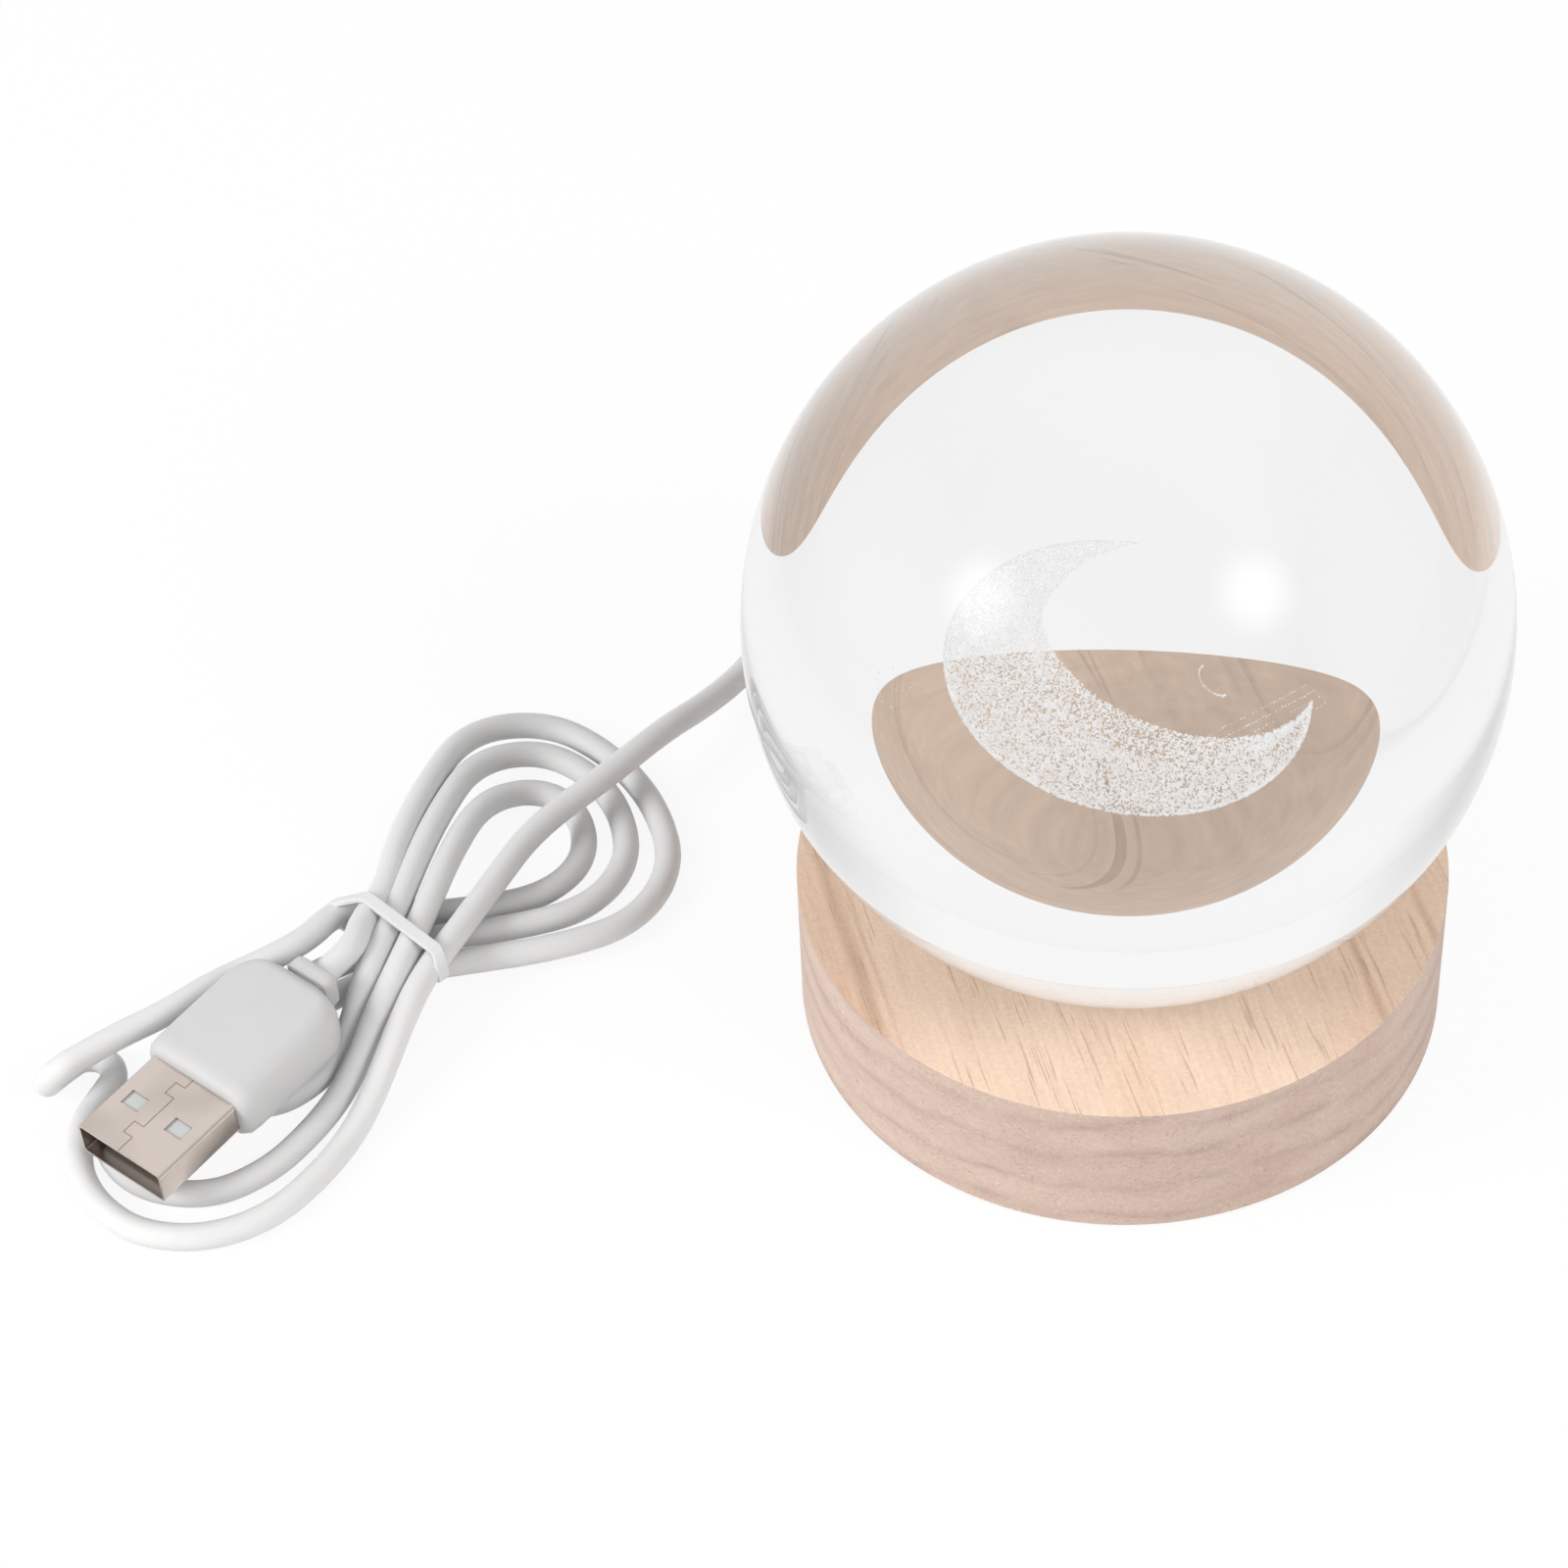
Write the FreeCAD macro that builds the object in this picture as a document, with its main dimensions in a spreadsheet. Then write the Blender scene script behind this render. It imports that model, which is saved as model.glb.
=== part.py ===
import FreeCAD, Part
import os
import re
from math import acos, cos, degrees, pi, radians, sin, sqrt, tan

import Sketcher
from FreeCAD import Placement, Rotation, Vector

# Night light: a solid glass ball with a crescent engraved inside it rests in the dish of a
# turned wooden base. The base holds the LED board; its cord leaves at the back, is folded into
# a tied hank beside the lamp and ends in a flat four-pin plug.
# Frame: millimetres, +Z up, origin under the middle of the base, +Y to the back (cord side).

# ---------------------------------------------------------------------------------------------
# Driving sizes
# ---------------------------------------------------------------------------------------------
SIZES = {
    # glass ball and its engraving
    "ball_diameter": 80.0,
    "ball_sink": 2.6,               # lowest point of the ball under the wood's top face
    "seat_clearance": 0.2,
    "moon_outer_radius": 13.02,
    "moon_outer_x": -0.19,
    "moon_outer_y": -2.33,
    "moon_inner_radius": 9.8,
    "moon_inner_x": 3.72,
    "moon_inner_y": -1.06,
    "moon_thickness": 4.5,
    "moon_turn": -10.0,             # degrees about the vertical
    "moon_clearance": 0.05,
    # turned wooden base
    "base_diameter": 71.0,
    "base_height": 18.6,
    "base_edge_break": 0.35,
    "light_hole_diameter": 18.0,
    "diffuser_seat_depth": 3.3,     # under the wood's top face
    "counterbore_diameter": 23.4,
    "pocket_diameter": 40.0,
    "pocket_depth": 9.0,            # above the cover
    # frosted disc over the lamps
    "diffuser_diameter": 23.0,
    "diffuser_thickness": 1.5,
    # lamp board
    "board_diameter": 34.0,
    "board_thickness": 1.2,
    "chip_count": 6,
    "chip_side": 5.0,
    "chip_height": 1.4,
    "chip_circle": 6.2,
    "chip_dimple_radius": 1.9,
    "chip_dimple_depth": 0.25,
    "resistor_length": 3.2,
    "resistor_width": 1.6,
    "resistor_height": 0.6,
    "resistor_pitch": 4.6,
    "resistor_offset": -6.0,
    "board_screw_circle": 14.5,
    "board_screw_diameter": 2.0,
    "board_screw_length": 4.8,
    "board_screw_head_diameter": 4.2,
    "board_screw_head_height": 1.2,
    "board_hole_diameter": 2.3,
    # bottom cover, its screws and the soft pad
    "cover_diameter": 52.0,
    "cover_thickness": 2.0,
    "cover_clearance": 0.2,
    "cover_screw_circle": 23.0,
    "cover_screw_diameter": 2.6,
    "cover_screw_length": 9.5,
    "cover_screw_head_diameter": 5.0,
    "cover_hole_diameter": 3.0,
    "pad_diameter": 60.0,
    "pad_thickness": 1.2,
    "pad_proud": 0.4,
    "pad_clearance": 0.2,
    # cord and what holds it inside the base
    "cord_diameter": 3.0,
    "cord_hole_diameter": 3.4,
    "cord_height": 6.0,
    "cord_past_glue": 1.0,
    "glue_radius": 4.2,
    "glue_setback": 0.8,
    "glue_floor_gap": 0.3,
    "wire_diameter": 1.1,
    "wire_spread": 1.5,
    "wire_straight": 3.0,
    "wire_dip": 0.5,
    "wire_climb": 1.6,
    "solder_spread": 8.0,
    "solder_y": 5.5,
    "solder_radius": 1.3,
    "solder_tip_radius": 0.81,
    "solder_height": 0.9,
    # flat tie round the hank
    "tie_width": 1.4,
    "tie_thickness": 0.7,
    "tie_inner_radius": 4.05,
    "tie_left": 5.8,
    "tie_right": 6.7,
    "tie_height": 4.85,
    # plug
    "shell_width": 12.0,
    "shell_height": 4.5,
    "shell_length": 11.7,
    "shell_wall": 0.3,
    "shell_corner": 0.6,
    "window_length": 2.0,
    "window_width": 2.4,
    "window_spread": 6.3,
    "window_from_mouth": 4.9,
    "seam_width": 0.12,
    "seam_depth": 0.15,
    "seam_tab_length": 1.7,
    "seam_tab_reach": 1.3,
    "seam_tab_first": 2.2,          # from the mouth
    "seam_tab_second": 8.6,
    "insulator_thickness": 1.9,
    "insulator_clearance": 0.3,
    "insulator_recess": 2.0,
    "contact_start": 2.6,           # from the mouth
    "contact_width": 1.1,
    "contact_thickness": 0.2,
    "contact_length": 8.0,
    "contact_pitch": 2.4,
    "overmould_width": 15.0,
    "overmould_height": 7.6,
    "overmould_length": 14.3,
    "overmould_corner": 2.6,
    "overmould_end_round": 1.6,
    "relief_width": 7.4,
    "relief_height": 5.0,
    "relief_end_width": 5.6,
    "relief_end_height": 4.4,
    "relief_length": 5.5,
    "relief_corner": 1.0,
    "relief_slot_width": 0.8,
    "relief_slot_depth": 1.1,
    "relief_slot_pitch": 1.9,
}

doc = FreeCAD.newDocument("night_light")
sheet = doc.addObject("Spreadsheet::Sheet", "Sizes")
for row, (alias, number) in enumerate(SIZES.items(), start=1):
    sheet.set(f"A{row}", alias)
    sheet.set(f"B{row}", str(number))
    sheet.setAlias(f"B{row}", alias)
doc.recompute()


def size(alias):
    """A driving size, read back from the sheet."""
    return float(sheet.get(alias))


def formula(text):
    """The same formula with each size written as a cell of the sheet."""
    return re.sub(r"[a-z]\w*", lambda word: "Sizes." + word[0] if word[0] in SIZES else word[0], text)


def bind(thing, **cells):
    """Bind properties to formulas; two underscores stand for the dot in a property's path."""
    for path, text in cells.items():
        thing.setExpression(path.replace("__", "."), formula(text))
    return thing


# Heights and radii that several pieces share, as formulas of the driving sizes.
WOOD_BOTTOM = "pad_proud"
WOOD_TOP = f"({WOOD_BOTTOM} + base_height)"
BALL_CENTRE = f"({WOOD_TOP} + ball_diameter / 2 - ball_sink)"
COVER_BOTTOM = "pad_thickness"
COVER_TOP = "(pad_thickness + cover_thickness)"
CEILING = f"({COVER_TOP} + pocket_depth)"
BOARD_BOTTOM = f"({CEILING} - board_thickness)"
DIFFUSER_TOP = f"({WOOD_TOP} - diffuser_seat_depth)"
COVER_RECESS_RADIUS = "(cover_diameter / 2 + cover_clearance)"
PAD_RECESS_RADIUS = "(pad_diameter / 2 + pad_clearance)"
LEAD_IN_END = "(pocket_diameter / 2 - glue_setback - glue_radius - cord_past_glue)"
LEAD_IN_LENGTH = f"(base_diameter / 2 - {LEAD_IN_END})"
COVER_SCREW_TURNS = (30, 150, 270)
BOARD_SCREW_TURNS = (0, 120, 240)


# ---------------------------------------------------------------------------------------------
# Helpers for features
# ---------------------------------------------------------------------------------------------
def part(kind, name, **cells):
    """A primitive of the Part workbench with its sizes bound to the sheet."""
    return bind(doc.addObject("Part::" + kind, name), **cells)


def cut(name, base, tool):
    result = doc.addObject("Part::Cut", name)
    result.Base = base
    result.Tool = tool
    return result


def common(name, base, tool):
    result = doc.addObject("Part::Common", name)
    result.Base = base
    result.Tool = tool
    return result


def fuse(name, pieces):
    result = doc.addObject("Part::MultiFuse", name)
    result.Shapes = pieces
    return result


def group(name, pieces):
    result = doc.addObject("Part::Compound", name)
    result.Links = pieces
    return result


def turned(thing, angle):
    """The same thing turned about the lamp's vertical axis."""
    thing.Placement = Placement(Vector(), Rotation(Vector(0, 0, 1), angle))
    return thing


def origin_plane(body, role):
    return next(item for item in body.Origin.OriginFeatures if item.Role == role)


def sketch_on(body, name, role):
    sketch = body.newObject("Sketcher::SketchObject", name)
    sketch.AttachmentSupport = [(origin_plane(body, role), "")]
    sketch.MapMode = "FlatFace"
    return sketch


def polygon(sketch, corners):
    """A closed outline whose corners are pairs of formulas in the sketch's own axes."""
    count = len(corners)
    for i in range(count):
        here = Vector(cos(2 * pi * i / count) + 2, sin(2 * pi * i / count) + 2, 0)
        there = Vector(cos(2 * pi * (i + 1) / count) + 2, sin(2 * pi * (i + 1) / count) + 2, 0)
        sketch.addGeometry(Part.LineSegment(here, there))
    for i in range(count):
        sketch.addConstraint(Sketcher.Constraint("Coincident", i, 2, (i + 1) % count, 1))
    for i, (across, up) in enumerate(corners):
        for kind, text in (("DistanceX", across), ("DistanceY", up)):
            number = sketch.addConstraint(Sketcher.Constraint(kind, -1, 1, i, 1, 1.0))
            sketch.setExpression(f"Constraints[{number}]", formula(text))
    return sketch


def feature(body, kind, name, **cells):
    """A PartDesign feature, with its sizes bound to the sheet."""
    return bind(body.newObject("PartDesign::" + kind, name), **cells)


def spread_round(body, name, originals, count):
    """The same cuts, repeated evenly about the vertical axis."""
    pattern = body.newObject("PartDesign::PolarPattern", name)
    pattern.Originals = originals
    pattern.Axis = (origin_plane(body, "Z_Axis"), [""])
    pattern.Angle = 360
    pattern.Occurrences = count
    body.Tip = pattern
    return pattern


# ---------------------------------------------------------------------------------------------
# Glass ball and engraving
# ---------------------------------------------------------------------------------------------
def crescent(name, grow):
    """A crescent cut from a thin lens: two large balls meet at the moon's outer circle, and a
    cylinder takes out the inner circle. It stands upright in the ball's middle."""
    bulge = "((moon_outer_radius ^ 2 + moon_thickness ^ 2 / 4) / moon_thickness)"
    shells = []
    for side, sign in (("front", ""), ("back", "-")):
        shells.append(part(
            "Sphere", f"{name}_{side}",
            Radius=f"{bulge} + {grow}",
            Placement__Base__x="moon_outer_x",
            Placement__Base__y="moon_outer_y",
            Placement__Base__z=f"{sign}({bulge} - moon_thickness / 2)"))
    lens = common(f"{name}_lens", *shells)
    bite = part(
        "Cylinder", f"{name}_bite",
        Radius=f"moon_inner_radius - {grow}",
        Height="moon_thickness * 2",
        Placement__Base__x="moon_inner_x",
        Placement__Base__y="moon_inner_y",
        Placement__Base__z="-moon_thickness")
    moon = cut(name, lens, bite)
    upright = Rotation(size("moon_turn"), 0, 90)
    moon.Placement = Placement(Vector(), upright)
    bind(moon, Placement__Base__z=BALL_CENTRE)
    return moon


def crystal_ball():
    blank = part("Sphere", "ball_blank", Radius="ball_diameter / 2", Placement__Base__z=BALL_CENTRE)
    return cut("crystal_ball", blank, crescent("moon_hollow", "moon_clearance"))


# ---------------------------------------------------------------------------------------------
# Wooden base and what closes it
# ---------------------------------------------------------------------------------------------
def wooden_base():
    body = doc.addObject("PartDesign::Body", "wooden_base")
    profile = polygon(sketch_on(body, "turning_profile", "XZ_Plane"), [
        ("base_diameter / 2", f"{WOOD_BOTTOM} + base_edge_break"),
        ("base_diameter / 2", f"{WOOD_TOP} - base_edge_break"),
        ("base_diameter / 2 - base_edge_break", WOOD_TOP),
        ("light_hole_diameter / 2", WOOD_TOP),
        ("light_hole_diameter / 2", DIFFUSER_TOP),
        ("counterbore_diameter / 2", DIFFUSER_TOP),
        ("counterbore_diameter / 2", CEILING),
        ("pocket_diameter / 2", CEILING),
        ("pocket_diameter / 2", COVER_TOP),
        (COVER_RECESS_RADIUS, COVER_TOP),
        (COVER_RECESS_RADIUS, COVER_BOTTOM),
        (PAD_RECESS_RADIUS, COVER_BOTTOM),
        (PAD_RECESS_RADIUS, WOOD_BOTTOM),
        ("base_diameter / 2 - base_edge_break", WOOD_BOTTOM),
    ])
    turning = body.newObject("PartDesign::Revolution", "turning")
    turning.Profile = profile
    turning.ReferenceAxis = (profile, ["V_Axis"])
    turning.Angle = 360
    feature(body, "SubtractiveSphere", "dish",
            Radius="ball_diameter / 2 + seat_clearance",
            Placement__Base__z=BALL_CENTRE)
    cord_hole = feature(body, "SubtractiveCylinder", "cord_hole",
                        Radius="cord_hole_diameter / 2",
                        Height="base_diameter / 2")
    cord_hole.Placement = Placement(Vector(), Rotation(Vector(1, 0, 0), -90))
    bind(cord_hole,
         Placement__Base__y="pocket_diameter / 2 - cord_hole_diameter",
         Placement__Base__z="cord_height")
    cover_pilot = feature(body, "SubtractiveCylinder", "cover_pilot",
                          Radius="cover_screw_diameter / 2",
                          Height="cover_screw_length - cover_thickness",
                          Placement__Base__z=COVER_TOP)
    place_on_circle(cover_pilot, "cover_screw_circle", COVER_SCREW_TURNS[0])
    spread_round(body, "cover_pilots", [cover_pilot], len(COVER_SCREW_TURNS))
    board_pilot = feature(body, "SubtractiveCylinder", "board_pilot",
                          Radius="board_screw_diameter / 2",
                          Height="board_screw_length - board_thickness",
                          Placement__Base__x="board_screw_circle",
                          Placement__Base__z=CEILING)
    spread_round(body, "board_pilots", [board_pilot], len(BOARD_SCREW_TURNS))
    return body


def place_on_circle(thing, radius, angle):
    """Put a thing on a circle about the vertical axis, at an angle in degrees."""
    bind(thing,
         Placement__Base__x=f"{radius} * cos({angle} deg)",
         Placement__Base__y=f"{radius} * sin({angle} deg)")


def base_pad():
    return part("Cylinder", "base_pad", Radius="pad_diameter / 2", Height="pad_thickness")


def bottom_cover():
    body = doc.addObject("PartDesign::Body", "bottom_cover")
    disc = feature(body, "AdditiveCylinder", "cover_disc",
                   Radius="cover_diameter / 2",
                   Height="cover_thickness",
                   Placement__Base__z=COVER_BOTTOM)
    hole = feature(body, "SubtractiveCylinder", "cover_hole",
                   Radius="cover_hole_diameter / 2",
                   Height="cover_thickness",
                   Placement__Base__z=COVER_BOTTOM)
    sink = feature(body, "SubtractiveCone", "cover_countersink",
                   Radius1="cover_screw_head_diameter / 2",
                   Radius2="cover_hole_diameter / 2",
                   Height="(cover_screw_head_diameter - cover_hole_diameter) / 2",
                   Placement__Base__z=COVER_BOTTOM)
    for drilled in (hole, sink):
        place_on_circle(drilled, "cover_screw_circle", COVER_SCREW_TURNS[0])
    spread_round(body, "cover_holes", [hole, sink], len(COVER_SCREW_TURNS))
    return body


def cover_screws():
    """Three countersunk wood screws, driven up through the cover."""
    head = "(cover_screw_head_diameter - cover_screw_diameter) / 2"
    screws = []
    for angle in COVER_SCREW_TURNS:
        pieces = [
            part("Cone", f"cover_screw_head_{angle}",
                 Radius1="cover_screw_head_diameter / 2", Radius2="cover_screw_diameter / 2",
                 Height=head,
                 Placement__Base__x="cover_screw_circle", Placement__Base__z=COVER_BOTTOM),
            part("Cylinder", f"cover_screw_shank_{angle}",
                 Radius="cover_screw_diameter / 2",
                 Height=f"cover_screw_length - {head} - cover_screw_diameter / 2",
                 Placement__Base__x="cover_screw_circle",
                 Placement__Base__z=f"{COVER_BOTTOM} + {head}"),
            part("Cone", f"cover_screw_point_{angle}",
                 Radius1="cover_screw_diameter / 2", Radius2="cover_screw_diameter / 8",
                 Height="cover_screw_diameter / 2",
                 Placement__Base__x="cover_screw_circle",
                 Placement__Base__z=f"{COVER_BOTTOM} + cover_screw_length - cover_screw_diameter / 2"),
        ]
        screws.append(turned(fuse(f"cover_screw_{angle}", pieces), angle))
    return group("cover_screws", screws)


# ---------------------------------------------------------------------------------------------
# Light: board, lamps, screws and frosted disc
# ---------------------------------------------------------------------------------------------
def light_diffuser():
    return part("Cylinder", "light_diffuser",
                Radius="diffuser_diameter / 2", Height="diffuser_thickness",
                Placement__Base__z=f"{DIFFUSER_TOP} - diffuser_thickness")


def led_board():
    body = doc.addObject("PartDesign::Body", "led_board")
    feature(body, "AdditiveCylinder", "board_disc",
            Radius="board_diameter / 2",
            Height="board_thickness",
            Placement__Base__z=BOARD_BOTTOM)
    hole = feature(body, "SubtractiveCylinder", "board_hole",
                   Radius="board_hole_diameter / 2",
                   Height="board_thickness",
                   Placement__Base__x="board_screw_circle",
                   Placement__Base__z=BOARD_BOTTOM)
    spread_round(body, "board_holes", [hole], len(BOARD_SCREW_TURNS))
    return body


def led_chips():
    """Square lamps in a ring on the board's top, each with a round dimple of phosphor."""
    chips = []
    count = int(size("chip_count"))
    for i in range(count):
        block = part("Box", f"chip_block_{i}",
                     Length="chip_side", Width="chip_side", Height="chip_height",
                     Placement__Base__x="chip_circle - chip_side / 2",
                     Placement__Base__y="-chip_side / 2", Placement__Base__z=CEILING)
        dimple = part("Cylinder", f"chip_dimple_{i}",
                      Radius="chip_dimple_radius", Height="chip_dimple_depth",
                      Placement__Base__x="chip_circle",
                      Placement__Base__z=f"{CEILING} + chip_height - chip_dimple_depth")
        chips.append(turned(cut(f"chip_{i}", block, dimple), 360 * i / count))
    return group("led_chips", chips)


def chip_resistors():
    """Two resistors side by side on the board's underside."""
    blocks = []
    for i, side in enumerate(("-", "")):
        blocks.append(part(
            "Box", f"resistor_{i}",
            Length="resistor_length", Width="resistor_width", Height="resistor_height",
            Placement__Base__x=f"{side}resistor_pitch / 2 - resistor_length / 2",
            Placement__Base__y="resistor_offset - resistor_width / 2",
            Placement__Base__z=f"{BOARD_BOTTOM} - resistor_height"))
    return group("chip_resistors", blocks)


def board_screws():
    """Three pan-head screws that hold the board up against the wood."""
    screws = []
    for angle in BOARD_SCREW_TURNS:
        pieces = [
            part("Cylinder", f"board_screw_head_{angle}",
                 Radius="board_screw_head_diameter / 2", Height="board_screw_head_height",
                 Placement__Base__x="board_screw_circle",
                 Placement__Base__z=f"{BOARD_BOTTOM} - board_screw_head_height"),
            part("Cylinder", f"board_screw_shank_{angle}",
                 Radius="board_screw_diameter / 2", Height="board_screw_length",
                 Placement__Base__x="board_screw_circle", Placement__Base__z=BOARD_BOTTOM),
        ]
        screws.append(turned(fuse(f"board_screw_{angle}", pieces), angle))
    return group("board_screws", screws)


# ---------------------------------------------------------------------------------------------
# Cord inside the base
# ---------------------------------------------------------------------------------------------
def cord_lead_in():
    """The cord's last stretch: through the wood and into the pocket."""
    cord = part("Cylinder", "cord_lead_in", Radius="cord_diameter / 2", Height=LEAD_IN_LENGTH)
    cord.Placement = Placement(Vector(), Rotation(Vector(1, 0, 0), -90))
    return bind(cord, Placement__Base__y=LEAD_IN_END, Placement__Base__z="cord_height")


def glue_anchor():
    """A dome of glue that grips the cord against the pocket's wall."""
    dome = part("Sphere", "glue_dome", Radius="glue_radius",
                Placement__Base__y="pocket_diameter / 2 - glue_setback",
                Placement__Base__z="cord_height")
    room = part("Cylinder", "glue_room", Radius="pocket_diameter / 2", Height="pocket_depth",
                Placement__Base__z=f"{COVER_TOP} + glue_floor_gap")
    bore = part("Cylinder", "glue_bore", Radius="cord_diameter / 2", Height=LEAD_IN_LENGTH)
    bore.Placement = Placement(Vector(), Rotation(Vector(1, 0, 0), -90))
    bind(bore, Placement__Base__y=LEAD_IN_END, Placement__Base__z="cord_height")
    return cut("glue_anchor", common("glue_blob", dome, room), bore)


def solder_joints():
    """Two small cones of solder on the board's underside, over the wires' ends."""
    cones = []
    for i, side in enumerate(("-", "")):
        cones.append(part(
            "Cone", f"solder_{i}",
            Radius1="solder_tip_radius", Radius2="solder_radius",
            Height="solder_height",
            Placement__Base__x=f"{side}solder_spread / 2", Placement__Base__y="solder_y",
            Placement__Base__z=f"{BOARD_BOTTOM} - solder_height"))
    return group("solder_joints", cones)


# ---------------------------------------------------------------------------------------------
# Bent round wires and the cord's free route
# ---------------------------------------------------------------------------------------------
BEND_SHARE = 0.45                   # of the shorter run beside a corner, taken by its arc


def bent_path(corners):
    """Straight runs joined by tangent arcs, each as large as its runs allow.
    Gives the wire and the arcs' radii."""
    edges = []
    radii = []
    here = corners[0]
    for before, corner, after in zip(corners, corners[1:], corners[2:]):
        back = before - corner
        ahead = after - corner
        turn = pi - back.getAngle(ahead)
        trim = BEND_SHARE * min(back.Length, ahead.Length)
        radius = trim / tan(turn / 2)
        start = corner + back * (trim / back.Length)
        end = corner + ahead * (trim / ahead.Length)
        inward = (back * (1 / back.Length) + ahead * (1 / ahead.Length)).normalize()
        middle = corner + inward * (radius / cos(turn / 2) - radius)
        edges.append(Part.LineSegment(here, start).toShape())
        edges.append(Part.Arc(start, middle, end).toShape())
        radii.append(radius)
        here = end
    edges.append(Part.LineSegment(here, corners[-1]).toShape())
    return Part.Wire(edges), radii


def round_tube(name, wire, start, direction, diameter):
    """A round solid swept along a wire, as a feature of the document."""
    section = Part.Wire([Part.Circle(start, direction, diameter / 2).toShape()])
    solid = wire.makePipeShell([section], True, False)
    expected = wire.Length * pi * diameter ** 2 / 4
    print(f"{name}: {wire.Length:.1f} mm long, volume is {solid.Volume / expected:.4f} of expected")
    result = doc.addObject("Part::Feature", name)
    result.Shape = solid
    return result


def lead_wire(name, side):
    """One insulated wire from the cord's cut end up to its solder joint."""
    across = side * size("wire_spread") / 2
    away = side * size("solder_spread") / 2
    height = size("cord_height")
    start = size("pocket_diameter") / 2 - size("glue_setback") - size("glue_radius")
    start = start - size("cord_past_glue")
    finish = size("solder_y")
    under_board = size("pad_thickness") + size("cover_thickness") + size("pocket_depth")
    under_board = under_board - size("board_thickness") - size("solder_height")
    corners = [
        Vector(across, start, height),
        Vector(across, start - size("wire_straight"), height),
        Vector((across + away) / 2, (start + finish - 1) / 2, height + size("wire_dip")),
        Vector(away, finish, height + size("wire_climb")),
        Vector(away, finish, under_board),
    ]
    wire, radii = bent_path(corners)
    return round_tube(name, wire, corners[0], corners[1] - corners[0], size("wire_diameter"))


# The hank lies in its own axes: u along it from the tied waist, v across it, z up.
WAIST = Vector(-80.9, 1.1, 0)
HANK_TURN = radians(46.5)
ALONG = Vector(cos(HANK_TURN), sin(HANK_TURN), 0)
ACROSS = Vector(-sin(HANK_TURN), cos(HANK_TURN), 0)


def hank_point(u, v, z):
    return WAIST + ALONG * u + ACROSS * v + Vector(0, 0, z)


def hank_direction(u, v, z=0.0):
    return (ALONG * u + ACROSS * v + Vector(0, 0, z)).normalize()


FLOOR = 1.5                         # the cord's middle where it lies on the table
LOWER = 2.5                         # where it passes the waist in the lower layer
UPPER = 6.0                         # where it passes the waist in the upper layer
TAIL_RISE = 6.67                    # where its tail does, already rising to the plug
RUN_END = hank_point(12.6, -2.9, UPPER)
RUN_END_DIRECTION = hank_direction(-0.955, -0.30)
RUN_END_STRAIGHT = 9.0

# Corners of the cord's free route from the base's back to the hank: level out of the wood,
# down to the table, round behind the lamp, and up over the hank's far loops.
RUN_CORNERS = [
    Vector(0, size("base_diameter") / 2, size("cord_height")),
    Vector(0, 43, size("cord_height")),
    Vector(-2.2, 53, 2.1),
    Vector(-7.4, 61.4, FLOOR),
    Vector(-15.8, 67.4, FLOOR),
    Vector(-25.4, 67.8, FLOOR),
    Vector(-33.4, 63.2, FLOOR),
    Vector(-38.8, 54.8, FLOOR),
    Vector(-43.2, 45.4, 1.6),
    Vector(-47.4, 37.6, 4.2),
    Vector(-52.2, 30.6, 7.0),
    Vector(-58.4, 23.4, 7.0),
    RUN_END - RUN_END_DIRECTION * RUN_END_STRAIGHT,
    RUN_END,
]


def cord_run():
    wire, radii = bent_path(RUN_CORNERS)
    print("cord_run radii:", [round(radius, 1) for radius in radii])
    direction = RUN_CORNERS[1] - RUN_CORNERS[0]
    return round_tube("cord_run", wire, RUN_CORNERS[0], direction, size("cord_diameter"))


# ---------------------------------------------------------------------------------------------
# The hank: six figure-eight lobes in one unbroken tube
# ---------------------------------------------------------------------------------------------
# Each lobe starts and ends at the waist. side: -1 towards the plug, +1 away from it. The other
# sizes are v at the start and end, the reach, v at the two widest places and the lean.
UPPER_V = (-6.5, -3.3, 0.6, 6.4)    # where the upper layer crosses the waist, tail last
LOWER_V = (6.9, 2.1, -3.0)          # where the lower layer crosses it
LOBES = [
    (-1, UPPER_V[0], LOWER_V[0], 45.4, -17.2, 11.6, -0.04),
    (+1, LOWER_V[0], UPPER_V[1], 28.6, -5.3, 7.6, 0.13),
    (-1, UPPER_V[1], LOWER_V[1], 40.2, -12.4, 6.1, -0.04),
    (+1, LOWER_V[1], UPPER_V[2], 33.2, -10.1, 12.4, 0.16),
    (-1, UPPER_V[2], LOWER_V[2], 25.9, -6.8, 2.1, 0.0),
    (+1, LOWER_V[2], UPPER_V[3], 36.8, -15.2, 16.2, 0.16),
]
NEAR_KNOTS = (8, 16, 28, 52, 90, 128, 164)  # degrees round a lobe on the plug's side
FAR_KNOTS = (16, 52, 90, 128, 164)

# The outermost lobe leaves its figure halfway: it runs on past the strand that comes back from
# the tip, doubles up behind it and returns on top of it. Places and directions, in hank axes.
TIP_FROM = 52                       # degrees round the first lobe
TIP = [
    ((-44.9, -5.8, FLOOR), (-0.12, 1, 0)),
    ((-42.9, 2.8, FLOOR), (0.45, 0.88, 0)),
    ((-35.7, 9.2, FLOOR), (0.60, 0.75, 0)),
    ((-38.2, 13.8, 1.7), (-1, -0.08, 0.05)),
    ((-38.2, 10.0, 6.5), (1, -0.03, 0)),
    ((-22.0, 8.7, 6.1), (1, -0.06, -0.02)),
    ((-9.5, 6.6, 5.2), (0.97, -0.05, -0.20)),
    ((0, LOWER_V[0], LOWER), (1, -0.42, 0)),
]

# Degrees round a lobe: where the cord has come down, or starts to rise, and over how many.
NEAR_DROP = (26, 20)
SHORT_DROP = (32, 22)
SHORT_REACH = 30                    # a lobe that reaches less comes down later
NEAR_RISE = (140, 30)
FAR_DROP = (76, 60)
FAR_RISE = (104, 60)


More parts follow.
